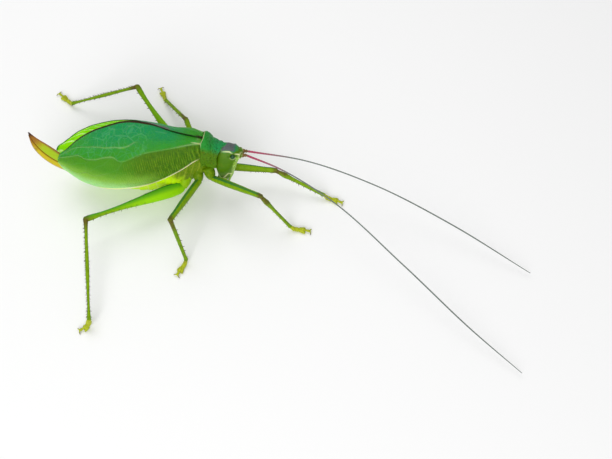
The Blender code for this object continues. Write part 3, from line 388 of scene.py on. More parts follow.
def tube(path, radii, sides, upright=UPRIGHT):
    """Rings of a round tube along a path."""
    along = unit(np.gradient(path, axis=0))
    wide = unit(np.cross(along, upright))[:, None]
    deep = np.cross(wide, along[:, None])
    turn = around(sides)[:, None]
    return path[:, None] + radii[:, None, None] * (wide * np.cos(turn) + deep * np.sin(turn))


def capped(grid):
    """A grid's values in one row, then the means of its first and last rings."""
    return np.concatenate((grid.reshape(-1, *grid.shape[2:]), grid[0].mean(0)[None], grid[-1].mean(0)[None]))


def in_scene(name, data):
    """A new object, linked into the scene."""
    item = bpy.data.objects.new(name, data)
    bpy.context.scene.collection.objects.link(item)
    return item


class Form:
    """Closed forms gathered into one mesh, with marks that its material reads."""

    def __init__(self):
        self.points, self.faces, self.marks, self.count = [], [], {}, 0

    def add(self, points, faces, marks):
        """Add one closed form, turned to face outwards."""
        a, b, c, d = (points[faces[:, corner]] for corner in range(4))
        volume = (a * (np.cross(b, c) + np.cross(c, d))).sum()
        self.points.append(points)
        self.faces.append((faces[:, ::-1] if volume < 0 else faces) + self.count)
        self.count += len(points)
        for key, values in marks.items():
            self.marks.setdefault(key, []).append(values)

    def loft(self, rings, in_body=True, **marks):
        """Add a closed form through rings of equal, even counts, with the marks of every place on them.

        Every face has four corners: the end caps close to a middle point."""
        rows, sides = rings.shape[:2]
        row, side = np.meshgrid(np.arange(rows - 1), np.arange(sides), indexing="ij")
        a = (row * sides + side).ravel()
        b = (row * sides + (side + 1) % sides).ravel()
        even = np.arange(0, sides, 2)
        before, after, base = (even - 1) % sides, even + 1, (rows - 1) * sides
        faces = np.concatenate((
            np.stack((a, b, b + sides, a + sides), 1),
            vectors(rows * sides, after, even, before),
            vectors(rows * sides + 1, base + before, base + even, base + after),
        ))
        points = capped(rings)
        for key, value in marks.items():
            marks[key] = capped(np.broadcast_to(value, (rows, sides) + np.shape(value)[2:]))
        self.add(in_model(points) if in_body else points, faces, marks)

    def make(self, name, finish):
        """The finished piece."""
        mesh = bpy.data.meshes.new(name)
        mesh.from_pydata((np.concatenate(self.points) * MM).tolist(), [], np.concatenate(self.faces).tolist())
        for key, blocks in sorted(self.marks.items()):
            values = np.concatenate(blocks)
            kind, field = ("FLOAT_VECTOR", "vector") if values.ndim == 2 else ("FLOAT", "value")
            mesh.attributes.new(key, kind, "POINT").data.foreach_set(field, values.ravel())
        mesh.materials.append(finish)
        mesh.shade_smooth()
        mesh.validate()
        item = in_scene(name, mesh)
        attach(item, "root")
        return item


class Shade:
    """One value in a material's node tree, which adds and multiplies as a plain number does."""

    def __init__(self, paint, socket):
        self.paint, self.socket = paint, socket

    def math(self, operation, *others):
        node = self.paint.node("ShaderNodeMath", (self, *others), operation=operation)
        return Shade(self.paint, node.outputs[0])

    def __add__(self, other):
        return self.math("ADD", other)

    def __sub__(self, other):
        return self.math("SUBTRACT", other)

    def __rsub__(self, other):
        return (self * -1.0) + other

    def __mul__(self, other):
        return self.math("MULTIPLY", other)

    __radd__ = __add__
    __rmul__ = __mul__

    def max(self, other):
        return self.math("MAXIMUM", other)

    def ramp(self, low, high):
        """Nought below low, one above high, smooth between."""
        node = self.paint.node("ShaderNodeMapRange", (self, low, high, 0.0, 1.0),
                               interpolation_type="SMOOTHSTEP")
        return Shade(self.paint, node.outputs[0])

    def bell(self, middle, width):
        """One where the value is at the middle, nothing a width away."""
        return (self - middle).math("ABSOLUTE").ramp(width, 0.0)


def full(colour):
    """A colour given by three numbers with its alpha, or a link as it is."""
    return (*colour, 1.0) if isinstance(colour, tuple) else colour


class Paint:
    """A material built up from named values, ending in one surface shader."""

    def __init__(self, name):
        self.material = bpy.data.materials.new(name)
        self.material.use_nodes = True
        self.tree = self.material.node_tree
        self.shader = self.tree.nodes["Principled BSDF"]
        self.object_place = self.node("ShaderNodeTexCoord").outputs["Object"]

    def node(self, kind, values=(), **settings):
        """A node with its settings and its first inputs given, by number, colour or link."""
        node = self.tree.nodes.new(kind)
        for key, value in settings.items():
            setattr(node, key, value)
        for socket, value in zip([entry for entry in node.inputs if entry.enabled], values):
            self.feed(socket, value)
        return node

    def feed(self, socket, value):
        if isinstance(value, Shade):
            value = value.socket
        if isinstance(value, bpy.types.NodeSocket):
            self.tree.links.new(value, socket)
        else:
            socket.default_value = value

    def mark(self, name):
        """A value stored on the piece's points."""
        return Shade(self, self.node("ShaderNodeAttribute", attribute_name=name).outputs["Fac"])

    def marks(self, name):
        """Three values stored on the piece's points, and the vector they make."""
        vector = self.node("ShaderNodeAttribute", attribute_name=name).outputs["Vector"]
        parts = self.node("ShaderNodeSeparateXYZ", (vector,)).outputs
        return [Shade(self, part) for part in parts] + [vector]

    def vector_math(self, operation, vector, other):
        return self.node("ShaderNodeVectorMath", (vector, other), operation=operation).outputs[0]

    def texture(self, kind, vector, inputs, **settings):
        """A texture node's outputs, over the object's own space where no vector is given."""
        node = self.node(kind, (vector or self.object_place,), **settings)
        for key, value in inputs.items():
            node.inputs[key].default_value = value
        return node.outputs

    def noise(self, scale, detail, vector=None):
        inputs = {"Scale": scale, "Detail": detail, "Roughness": 0.55}
        return Shade(self, self.texture("ShaderNodeTexNoise", vector, inputs)["Fac"])

    def cells(self, scale, vector=None, feature="F1", chance=1.0):
        inputs = {"Scale": scale, "Randomness": chance}
        return Shade(self, self.texture("ShaderNodeTexVoronoi", vector, inputs, feature=feature)["Distance"])

    def mix(self, factor, a, b):
        """Colour a where the factor is nought, colour b where it is one."""
        node = self.node("ShaderNodeMix", data_type="RGBA")
        self.feed(node.inputs[0], factor)
        for socket, value in zip([entry for entry in node.inputs if entry.type == "RGBA"], (a, b)):
            self.feed(socket, full(value))
        return next(entry for entry in node.outputs if entry.type == "RGBA")

    def layer(self, colour, *coats):
        """A colour under coats, each a colour and the factor that lays it on."""
        for coat, factor in coats:
            colour = self.mix(factor, colour, coat)
        return colour

    def finish(self, colour, roughness, height=None, depth=0.0, **constants):
        """Feed the shader, with relief from a height in metres, and return the material."""
        self.feed(self.shader.inputs["Base Color"], full(colour))
        self.feed(self.shader.inputs["Roughness"], roughness)
        if height is not None:
            bump = self.node("ShaderNodeBump")
            bump.inputs["Distance"].default_value = depth
            self.feed(bump.inputs["Height"], height)
            self.feed(self.shader.inputs["Normal"], bump.outputs[0])
        for key, value in constants.items():
            self.shader.inputs[key.replace("_", " ")].default_value = value
        return self.material


def paint_shield():
    """The rough green shield: teal on the back from a painted sky sheen, olive down the sides, pale rims."""
    paint = Paint("shield_green")
    x, _, z, seat = paint.marks("seat")
    mottle = paint.noise(900.0, 4.0)
    pits = paint.cells(1.7, seat)
    grains = paint.cells(3.2, seat)
    slant = z + x * 0.45
    side = (slant + mottle * 1.4).ramp(2.5, 1.0)
    colour = paint.layer(
        (0.02, 0.27, 0.03),
        # Teal over the front of the back: a painted sky sheen on the upward faces
        ((0.014, 0.27, 0.07), (x + mottle * 1.2).ramp(2.2, 4.6)),
        (OLIVE, side),
        (LEAF, (z + mottle * 2.0).ramp(-1.6, -4.8) * 0.6),
        ((0.02, 0.08, 0.01), pits.ramp(0.36, 0.1) * 0.7),
        ((0.26, 0.36, 0.01), grains.ramp(0.26, 0.05) * side * mottle.ramp(0.42, 0.6) * 0.6),
        ((0.14, 0.1, 0.004), pits.ramp(0.5, 0.7) * mottle.ramp(0.5, 0.66) * slant.ramp(1.6, 0.2) * 0.6),
        (CREAM, paint.mark("rim") * 0.75),
        ((0.12, 0.05, 0.02), paint.mark("spot")),
    )
    height = pits * 0.7 + grains * 0.35 + mottle * 0.5
    return paint.finish(colour, mottle.ramp(0.2, 0.9) * 0.2 + 0.4, height, 0.0003, Specular_IOR_Level=0.12)


def paint_head():
    """Smooth olive cheeks, a grey-plum crown and cream lines."""
    paint = Paint("head_olive")
    z = paint.marks("seat")[2]
    mottle = paint.noise(1100.0, 4.0)
    fine = paint.noise(5200.0, 2.0)
    face = paint.mark("face")
    crown = paint.mark("crown")
    patch = crown * 1.3 + mottle - 0.9
    colour = paint.layer(
        (0.066, 0.18, 0.001),
        ((0.09, 0.21, 0.002), mottle.ramp(0.4, 0.65) * 0.6),
        # Teal over the top of the head: a painted sky sheen on the upward faces
        ((0.02, 0.27, 0.06), (z + mottle * 0.9).ramp(-0.8, -0.3) * 0.8),
        ((0.34, 0.62, 0.05), face * mottle.ramp(0.25, 0.55) * 0.95),
        ((0.62, 0.78, 0.32), face * paint.noise(3000.0, 2.0).ramp(0.5, 0.62) * 0.6),
        # Teal on the crown: painted sky sheen as well
        ((0.03, 0.15, 0.1), crown.ramp(0.05, 0.5)),
        (PLUM_GREY, patch.ramp(0.0, 0.7)),
        ((0.05, 0.06, 0.06), patch.ramp(0.3, 0.7) * fine.ramp(0.4, 0.62) * 0.5),
        ((0.12, 0.12, 0.003), mottle.ramp(0.56, 0.7) * z.ramp(-2.0, -3.5) * 0.6),
        # Painted shade in the grooves, the dark notch behind the eye among them
        ((0.03, 0.09, 0.01), paint.mark("groove") * 0.6),
        (CREAM, paint.mark("pale")),
    )
    height = mottle * 0.4 + fine * 0.25
    return paint.finish(colour, fine * 0.12 + 0.36, height, 0.00006, Specular_IOR_Level=0.15)


def paint_trunk():
    """Yellow-green belly and flanks in segments, with paler membranes, under an olive thorax."""
    paint = Paint("belly_lime")
    x, _, z, seat = paint.marks("seat")
    mottle = paint.noise(800.0, 4.0)
    fine = paint.noise(4200.0, 3.0)
    pits = paint.cells(1.9, seat)
    olive = (x + mottle).ramp(-2.8, -1.0)
    for rear, front, low, high in ((-7.5, -4.2, -7.6, -5.2), (-5.0, -2.8, -9.6, -7.8)):
        olive = olive.max((x + mottle * 2.0).ramp(rear, front) * (z + mottle * 2.0).ramp(low, high))
    colour = paint.layer(
        (0.5, 0.85, 0.002),
        ((0.66, 0.92, 0.004), mottle.ramp(0.42, 0.66) * 0.55),
        ((0.075, 0.16, 0.001), olive * 0.92),
        ((0.18, 0.26, 0.008), pits.ramp(0.42, 0.62) * olive * 0.55),
        ((0.05, 0.13, 0.004), pits.ramp(0.24, 0.05) * olive * 0.5),
        ((0.6, 0.7, 0.06), paint.mark("fold") * 0.4),
        (CREAM, paint.mark("pale") * 0.35),
    )
    height = mottle * 0.5 + fine * 0.4 + pits * olive
    return paint.finish(colour, fine * 0.15 + 0.38, height, 0.0001, Specular_IOR_Level=0.12)


def paint_wing():
    """The leaf-like wing: teal upper field with painted sky sheen, olive lower field, a net of pale veins,
    painted glow inside.
    """
    paint = Paint("wing_leaf")
    u, v, side, _ = paint.marks("share")
    run, fall, inner, place = paint.marks("wing")
    field = paint.mark("field")
    vein = paint.mark("vein")
    cross = paint.mark("cross")
    mottle = paint.noise(420.0, 4.0)
    fine = paint.noise(3800.0, 3.0)
    drift = paint.texture("ShaderNodeTexNoise", place, {"Scale": 0.5})["Color"]
    wander = paint.vector_math("ADD", place, paint.vector_math("MULTIPLY", drift, (1.1, 1.1, 0.0)))
    cells = paint.cells(0.62, wander, "DISTANCE_TO_EDGE", 0.95)
    net = cells.ramp(0.06, 0.015) * field.ramp(0.6, -0.2) * u.ramp(0.2, 0.4)
    mesh_net = paint.cells(1.7, wander, "DISTANCE_TO_EDGE", 0.9).ramp(0.12, 0.03)
    streaks = paint.noise(1.0, 2.0, paint.vector_math("MULTIPLY", place, (3.4, 0.5, 0.0)))
    rungs = (run * 1.9 + fall * 0.2 + streaks * 1.3).math("FRACT").bell(0.5, 0.3) * streaks.ramp(0.35, 0.6)
    rungs = rungs * field.ramp(0.3, 1.4) * u.ramp(0.66, 0.38)
    low = v + u * 0.45 + mottle * 0.12
    # Mask along the upper edge, for its maroon and the painted shade of the gap where the wings meet
    ridge = (fall + u.ramp(0.36, 0.24) * 0.36).ramp(0.56, 0.34)
    lower = paint.layer(
        (0.075, 0.19, 0.002),
        ((0.04, 0.12, 0.002), streaks.ramp(0.55, 0.4) * u.ramp(0.5, 0.2) * 0.75),
        ((0.07, 0.28, 0.012), (u + mottle * 0.15).ramp(0.38, 0.66) * 0.9),
        ((0.26, 0.52, 0.05), low.ramp(0.74, 1.02) * u.ramp(0.2, 0.4) * 0.88),
        ((0.38, 0.76, 0.27), low.ramp(0.94, 1.22) * u.ramp(0.3, 0.55) * 0.92),
    )
    outside = paint.layer(
        (0.038, 0.29, 0.018),
        # Teal along the top: a painted sky sheen on the upward faces
        ((0.01, 0.27, 0.085), (v + mottle * 0.14).ramp(0.34, 0.14) * u.ramp(0.88, 0.6) * u.ramp(0.03, 0.2)),
        ((0.025, 0.34, 0.06), mottle.ramp(0.52, 0.7) * 0.4),
        (lower, field.ramp(-0.3, 0.35)),
        ((0.1, 0.36, 0.02), mesh_net * 0.14),
        ((0.22, 0.38, 0.02), rungs * 0.6),
        ((0.1, 0.42, 0.17), net * 0.34),
        ((0.2, 0.55, 0.25), cross * 0.5),
        ((0.32, 0.56, 0.2), vein * (0.58 - u.ramp(0.45, 0.8) * 0.26)),
        ((0.13, 0.1, 0.12), paint.mark("strip") * 0.9),
        # Dark maroon along the upper edge: partly its own tone, partly painted shade where the wings meet
        ((0.035, 0.014, 0.008), ridge * u.ramp(0.98, 0.9) * u.ramp(0.16, 0.2)),
        # A thin dark green line at the front of the upper edge: painted shade where the wings meet
        ((0.02, 0.06, 0.012), fall.ramp(0.16, 0.06) * u.ramp(0.2, 0.16)),
        # Dark at the far wing's root: painted shade under the shield's rear edge
        ((0.03, 0.014, 0.006), fall.ramp(0.75, 0.45) * u.ramp(0.03, 0.015) * side.ramp(0.0, 0.5)),
        ((0.95, 0.92, 0.5), paint.mark("cream")),
    )
    # Inner face: lime with pale bars, painted light shining through the thin wing, darker near the top edge
    # and front
    bars = (run * 0.52 + fall * 0.3 + mottle * 0.7).math("FRACT").bell(0.5, 0.2)
    painted_backlight = paint.layer(
        (0.32, 0.72, 0.004),
        ((0.42, 0.8, 0.01), mottle.ramp(0.4, 0.6)),
        ((0.9, 1.0, 0.58), bars * mottle.ramp(0.34, 0.44)),
        ((0.015, 0.14, 0.012), fall.ramp(0.75, 0.4)),
        ((0.01, 0.05, 0.01), u.ramp(0.52, 0.4)),
    )
    # The inner face also glows faintly in that colour: painted light shining through the wing
    paint.feed(paint.shader.inputs["Emission Color"], paint.mix(inner, (0.0, 0.0, 0.0), painted_backlight))
    height = vein * 1.2 + cross * 0.8 + net * 0.6 + mesh_net * 0.3 + rungs * 0.5 + fine * 0.25 + cells * 0.6
    return paint.finish(paint.mix(inner, outside, painted_backlight), fine * 0.14 + 0.42, height, 0.00012,
                        Subsurface_Weight=0.5, Subsurface_Radius=(0.35, 0.8, 0.05), Subsurface_Scale=0.001,
                        Specular_IOR_Level=0.1, Emission_Strength=0.3)


def paint_leg():
    """Green limbs with a teal back edge and brown knees; yellow-olive feet."""
    paint = Paint("leg_green")
    segment, place, _, _ = paint.marks("limb")
    back = paint.mark("back")
    hind = paint.mark("hind")
    mottle = paint.noise(1500.0, 4.0)
    fine = paint.noise(6000.0, 2.0)
    root = segment.ramp(0.5, 0.2)
    femur = segment.bell(1.0, 0.5)
    tibia = segment.bell(2.0, 0.5)
    foot = segment.ramp(2.6, 2.9)
    front = 1.0 - hind
    shin = tibia * front * place.ramp(0.3, 0.16) * back.ramp(-0.2, 0.5)
    knee = (femur * place.ramp(0.92, 1.0) * 0.8).max(tibia * place.ramp(0.17, 0.03)).max(shin * 0.8)
    colour = paint.layer(
        (0.2, 0.36, 0.001),
        ((0.11, 0.26, 0.002), mottle.ramp(0.46, 0.62) * 0.5),
        ((0.28, 0.66, 0.001), femur * hind * place.ramp(0.9, 0.3) * 0.9),
        ((0.1, 0.21, 0.001), root * front * 0.9),
        ((0.2, 0.3, 0.006), root * front * mottle.ramp(0.48, 0.62) * 0.7),
        ((0.3, 0.56, 0.002), root * hind * 0.85),
        ((0.05, 0.33, 0.012), back.ramp(-0.1, 0.85) * femur * hind * 0.8),
        ((0.13, 0.19, 0.002), back.ramp(0.1, -0.7) * femur * front * 0.75),
        ((0.01, 0.14, 0.035), back.ramp(0.84, 0.98) * (femur + tibia * 0.35) * (mottle * 0.4 + 0.6)),
        ((0.14, 0.09, 0.015), tibia * mottle.ramp(0.45, 0.62) * 0.22),
        (MAROON, knee * (mottle * 0.5 + 0.55)),
        ((0.42, 0.48, 0.02), foot),
        ((0.12, 0.08, 0.015), foot * mottle.ramp(0.5, 0.64) * 0.4),
        ((0.1, 0.06, 0.03), paint.mark("dark")),
    )
    height = mottle * 0.5 + fine * 0.4
    return paint.finish(colour, fine * 0.14 + 0.33, height, 0.00005, Specular_IOR_Level=0.1)


def paint_feeler():
    """Ringed feelers, crimson at the base and grey-green beyond."""
    paint = Paint("feeler_crimson")
    place = paint.mark("place")
    mottle = paint.noise(2500.0, 2.0)
    colour = paint.layer(
        (0.13, 0.16, 0.14),
        ((0.3, 0.08, 0.12), (place + mottle * 0.04).ramp(0.2, 0.11)),
        ((0.42, 0.012, 0.08), (place + mottle * 0.04).ramp(0.14, 0.06)),
        ((0.16, 0.08, 0.015), place.ramp(0.04, 0.03)),
        ((0.14, 0.22, 0.01), place.ramp(0.018, 0.008)),
        ((0.05, 0.05, 0.05), paint.mark("ring") * 0.35),
    )
    return paint.finish(colour, 0.42, mottle, 0.00001)


def paint_blade():
    """The egg-laying blade: yellow-green within, amber edges and a dark tip."""
    paint = Paint("blade_amber")
    s, across, lower, _ = paint.marks("blade")
    mottle = paint.noise(1400.0, 4.0)
    edge = across.math("ABSOLUTE").ramp(0.72, 0.98)
    seam = across.bell(-0.1, 0.16)
    colour = paint.layer(
        (0.36, 0.52, 0.006),
        ((0.5, 0.3, 0.006), (s + mottle * 0.2).ramp(0.68, 0.95) * 0.85),
        ((0.6, 0.44, 0.008), lower * s.ramp(-0.05, 0.2) * 0.9),
        ((0.26, 0.06, 0.008), edge.max(seam * 0.85) * s.ramp(0.0, 0.3) * 0.9),
        ((0.26, 0.08, 0.01), (s + mottle * 0.1).ramp(0.7, 0.94) * 0.8),
        ((0.04, 0.01, 0.008), (s + mottle * 0.05).ramp(0.91, 1.0)),
        ((0.05, 0.02, 0.015), paint.mark("spot") * 0.9),
    )
    return paint.finish(colour, mottle * 0.15 + 0.3, mottle, 0.00004, Specular_IOR_Level=0.2)


def paint_eye():
    """Dark green facets, with a painted mint reflection on the lower part."""
    paint = Paint("eye_green")
    facets = paint.cells(9000.0)
    colour = paint.layer(
        (0.008, 0.085, 0.016),
        ((0.05, 0.18, 0.03), paint.noise(1200.0, 2.0).ramp(0.5, 0.7) * 0.6),
        ((0.004, 0.012, 0.008), facets.ramp(0.3, 0.6) * 0.5),
        # Mint on the lower part: a painted reflection
        ((0.12, 0.42, 0.1), paint.mark("low") * 0.8),
    )
    return paint.finish(colour, 0.34, facets * -1.0, 0.00002, Specular_IOR_Level=0.4)


def paint_mouth():
    """Pale green mouthparts, the jaws dark at their tips."""
    paint = Paint("mouth_cream")
    mottle = paint.noise(1500.0, 3.0)
    colour = paint.layer(
        (0.2, 0.42, 0.02),
        ((0.38, 0.58, 0.1), mottle.ramp(0.42, 0.65)),
        (MAROON, paint.mark("dark") * 0.8),
    )
    return paint.finish(colour, 0.34, mottle, 0.00004)


def make_shield(finish):
    """The saddle-shaped pronotum with its rims, grooves and side lobes."""
    across, up = oval(around(128) + math.pi / 2, 2.2)
    reach = np.linspace(0, 1, 96)[:, None]
    rear_edge = -0.2 + 0.35 * ramp(up, -0.4, 0.2) + 0.55 * ramp(up, 0.75, 1.0)

    def spread(z, pull):
        """Places from the rear edge to the slanting front edge."""
        front = NECK_TOP[0] + (z - NECK_TOP[2]) * math.tan(NECK_SLOPE) - 0.12 + pull
        return rear_edge + (front - rear_edge) * reach

    def tucked(ring, shift):
        """A ring drawn in, which turns an edge under."""
        return (ring.mean(0) + (ring - ring.mean(0)) * 0.9 + (shift, 0, 0))[None]

    x = spread(section(PRONOTUM_STATIONS, 0.0, up)[0], 0.0)
    for _ in range(3):
        z, half, top, bottom = section(PRONOTUM_STATIONS, x, up)[:4]
        x = spread(z, 0.4 * ramp(up, 0.5, 1.0) - 0.8 * ramp(np.abs(across), 0.08, 0.42) * ramp(z, -4.5, -1.5))
    outward = unit(vectors(0.0, across / half, up / (top - bottom) * 2))
    from_rear, from_front = x - rear_edge, (1 - reach) * 5.2
    edge = np.minimum(reach, 1 - reach) * 5.3
    rise = bell(from_rear, 0.3) * 0.08 + bell(from_front, 0.4) * 0.03
    rise += ramp(from_rear, 1.2, 0.0) * (0.34 - 0.16 * ramp(up, 0.6, 1.0))
    rise -= bell(x - 2.35 - 0.25 * np.abs(across), 0.22) * 0.16 * ramp(up, -0.55, -0.2)
    rise -= bell(x - 3.7 - 0.2 * np.abs(across), 0.2) * 0.12 * ramp(up, -0.6, -0.2)
    rise += bell(up - 0.72, 0.14) * 0.1 * ramp(x, 4.8, 3.0) * ramp(x, 0.2, 1.0)
    rise -= bell(across, 0.05) * 0.05 * ramp(up, 0.3, 0.8)
    rise -= ramp(-up, 0.72, 0.8) * 0.28 - bell(-up - 0.7, 0.06) * 0.12
    rise -= 0.2 * (1 - ramp(edge, 0.0, 0.16))
    points = vectors(x, across * half, z)
    rough = ramp(edge, 0.1, 0.5) * (1 + 0.5 * ramp(-up, -0.5, 0.1))
    rise += (lumps(points, 0.6) * 0.06 + lumps(points, 0.3, 3.0) * 0.055) * rough
    points = points + outward * rise[..., None]
    points = np.concatenate((tucked(points[0], 0.35), points, tucked(points[-1], -0.35)))
    rim = bell(from_rear - 0.1, 0.12) * ramp(up, 0.5, 0.85)
    rim += bell(from_front, 0.14) * 0.12 * ramp(up, 0.0, 0.6)
    form = Form()
    form.loft(points, seat=points, rim=np.pad(rim, ((1, 1), (0, 0))),
              spot=bell(from_place(points, (0.45, 0.7, 2.75)), 0.42))
    shield = form.make("shield", finish)
    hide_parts("pronotum")


def make_trunk(finish):
    """Thorax and abdomen as one skin, with plates, folds and overlapping segments."""
    angles = around(96) + math.pi / 2
    across, up = oval(angles, 2.2)
    full_across, full_up = oval(angles, 2.9)
    x = np.linspace(0.9, -30.9, 300)[:, None]
    z, half, top, bottom, widest = section(TRUNK_STATIONS, x, up)
    outward = unit(vectors(0.0, across / half, up * 2 / (top - bottom)))
    fuller = ramp(x, -24.0, -10.0) * ramp(-up, 0.0, 0.3)
    y = (across + fuller * (full_across - across)) * half
    z = z + fuller * (widest + full_up * (widest - bottom) - z)
    belly = ramp(-x, 8.6, 9.4)
    chest = 1 - belly
    part = (BELLY_FRONT - x) / BELLY_PLATE % 1
    plate = (ramp(part, 0.0, 0.75) - bell(part - 1.0, 0.07)) * 0.16
    fold = bell(up + 0.62, 0.1) * belly
    seams = sum(bell(x - z * 0.35 - line, width) for line, width in TRUNK_SEAMS)
    keel = bell(across, 0.12) * ramp(-up, 0.8, 0.95)
    points = vectors(x, y, z)
    rise = plate * belly * (1 - fold) - fold * 0.18
    rise -= (seams * 0.2 * ramp(-up, -0.5, -0.1) + keel * 0.25) * chest
    rise += (lumps(points, 0.7) * 0.09 + lumps(points, 0.33, 5.0) * 0.05) * chest
    points = points + outward * rise[..., None]
    form = Form()
    form.loft(points, seat=points, pale=bell(part - 0.86, 0.06) * belly * 0.8,
              fold=np.clip(fold + bell(part - 1.0, 0.1) * belly + seams * chest * 0.7, 0, 1))
    reach = np.linspace(0, 1, 22)
    radii = 0.52 * (1 - reach ** 2 * 0.75) * np.sqrt(np.clip(1.02 - reach ** 6, 0.02, 1))
    radii += 0.02 * np.cos(reach * 40)
    for side in SIDES.values():
        inward = side * (0.35 * reach + 0.5 * (1 - reach) ** 2)
        curve = vectors(1.2 - reach * 3.6, -inward, 0.5 * reach + 0.25 * reach ** 2)
        rings = tube(CERCUS_ROOT * (1, side, 1) + curve, radii, 16)
        form.loft(rings, seat=rings, fold=0.0, pale=0.0)
    trunk = form.make("trunk", finish)
    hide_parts("thorax", "abdomen", "cercus_l", "cercus_r")


def make_head(finish):
    """The head capsule: rounded crown, cheeks, face lines, eye rims and feeler sockets."""
    angles = around(192)
    along, across = oval(angles, 2.25)
    rear_along, rear_across = oval(angles, 3.4)
    rear = ramp(-np.cos(angles), -0.2, 0.5)
    along, across = along + rear * (rear_along - along), across + rear * (rear_across - across)
    z = np.concatenate((np.linspace(0.05, -0.15, 14)[:-1], np.linspace(-0.15, -9.15, 147)))[:, None]
    front, back, half = np.moveaxis(smooth(HEAD_LEVELS, z), -1, 0)
    x = (front + back) / 2 + along * (front - back) / 2
    y = across * half
    place = vectors(x, y, z)
    mirrored = vectors(x, np.abs(y), z)
    outward = unit(np.cross(np.gradient(place, axis=0), np.roll(place, -1, 1) - np.roll(place, 1, 1)))
    eye = from_place(mirrored, EYE_CENTRE)
    socket = from_place(mirrored[..., 1:], SCAPE_ROOT[1:]) + ramp(x, 8.2, 7.4) * 9
    face = ramp(along, 0.56, 0.72) * ramp(-z, 1.9, 2.6)
    groove = np.maximum.reduce([bell(from_line(mirrored, line), 0.1) for line in HEAD_GROOVES])
    middle = bell(y, 0.1) * ramp(-z, 5.6, 2.8) * (along > 0.2)
    rise = bell(eye - EYE_RADIUS - 0.2, 0.12) * 0.15 - ramp(eye, EYE_RADIUS + 0.1, EYE_RADIUS - 0.05) * 0.3
    rise += ramp(socket, 0.95, 0.6) * 0.35 + bell(socket - 0.6, 0.1) * 0.1 - ramp(socket, 0.52, 0.4) * 0.25
    rise += middle * 0.05 - groove * 0.09
    rise += face * (0.07 + 0.05 * lumps(place, 0.45) + 0.03 * lumps(place, 0.2, 2.0))
    rise += bell(from_place(place, HORN_PLACE), 0.38) * 0.3
    rise += bell(from_place(mirrored, CHEEK_PLACE), 1.6) * 0.1
    pale = np.maximum.reduce([
        bell(from_line(mirrored, BROW_LINE), 0.13),
        bell(from_line(mirrored, JAW_LINE), 0.14) * 0.9,
        # A pale crescent under each eye: a painted reflection
        bell(eye - EYE_RADIUS - 0.16, 0.1) * ramp(-z, 1.9, 2.2) * 0.45,
        bell(x - 4.7, 0.1) * bell(np.abs(y) - 1.1, 0.5) * ramp(z, -1.6, -1.2) * 0.6,
        bell(socket - 0.62, 0.12) * 0.4,
    ])
    points = place + outward * rise[..., None]
    # The back of the head ends on the slope of the neck
    slope = np.array((math.cos(NECK_SLOPE), 0, -math.sin(NECK_SLOPE)))
    points[..., 0] -= np.minimum((points - NECK_TOP) @ slope + 1.3, 0) / math.cos(NECK_SLOPE)
    x, y, z = np.moveaxis(points, -1, 0)
    patch_rear = 4.7 + 1.1 * ramp(y, -1.6, 0.6)
    crown = ramp(x, patch_rear, patch_rear + 0.2) * ramp(x, 8.5, 6.9)
    crown = crown * ramp(np.abs(y), 1.62, 1.47) * ramp(z, -1.2, -0.9)
    form = Form()
    form.loft(points, seat=points, pale=pale, crown=crown, groove=groove, face=face)
    head = form.make("head_capsule", finish)
    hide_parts("head")


def make_eyes(finish):
    """Two small round eyes, standing out from their rims."""
    turn = around(48)
    polar = np.linspace(0.02, math.pi - 0.02, 32)[:, None]
    for tag, side in SIDES.items():
        centre = EYE_CENTRE * (1, side, 1)
        rings = centre + EYE_RADIUS * vectors(
            1.02 * np.sin(polar) * np.cos(turn), 0.98 * np.cos(polar), 1.08 * np.sin(polar) * np.sin(turn))
        form = Form()
        # The lower part of each eye is marked for its painted reflection
        form.loft(rings, low=ramp(centre[2] - rings[..., 2], 0.0, EYE_RADIUS))
        eye = form.make("eyeball_" + tag, finish)
        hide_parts("eye_" + tag)


def make_mouth(finish):
    """Clypeus, upper lip, jaws and jointed feeding palps."""
    form = Form()
    along, across = oval(around(32), 2.6)
    fall = np.linspace(0, 1, 22)[:, None]
    half = 1.15 * np.sqrt(np.clip(1 - (fall * 0.97) ** 5, 0.02, 1)) - 0.12 * bell(fall - 0.28, 0.06)
    lip = vectors(6.25 - 0.6 * fall + along * (0.45 - 0.2 * fall), across * half, -8.6 - 1.9 * fall)
    form.loft(lip, dark=0.0)
    for side in SIDES.values():
        narrowing = 0.375 * fall ** 2
        y = side * (0.75 - narrowing + across * (0.7 - narrowing))
        jaw = vectors(4.85 + along * (0.85 - 0.35 * fall), y, -8.3 - 2.15 * fall)
        form.loft(jaw, dark=ramp(fall, 0.84, 1.0))
        for places, thick in PALPS:
            last = len(places) - 1
            steps = np.linspace(0, last, 44)
            path = smooth(np.column_stack((range(last + 1), places)), steps) * (1, side, 1)
            part = steps % 1
            radii = thick * (0.82 + 0.3 * part) * np.sqrt(np.clip(1.03 - (steps / last) ** 14, 0.03, 1))
            radii = radii * (1 - 0.25 * bell(np.minimum(part, 1 - part), 0.09))
            form.loft(tube(path, radii, 12, (0.0, 1.0, 0.2)), dark=0.0)
    mouth = form.make("mouthparts", finish)
    palps = [kind + "_palp_" + tag for kind in ("maxillary", "labial") for tag in SIDES]
    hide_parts("labrum", "jaw_l", "jaw_r", *palps)


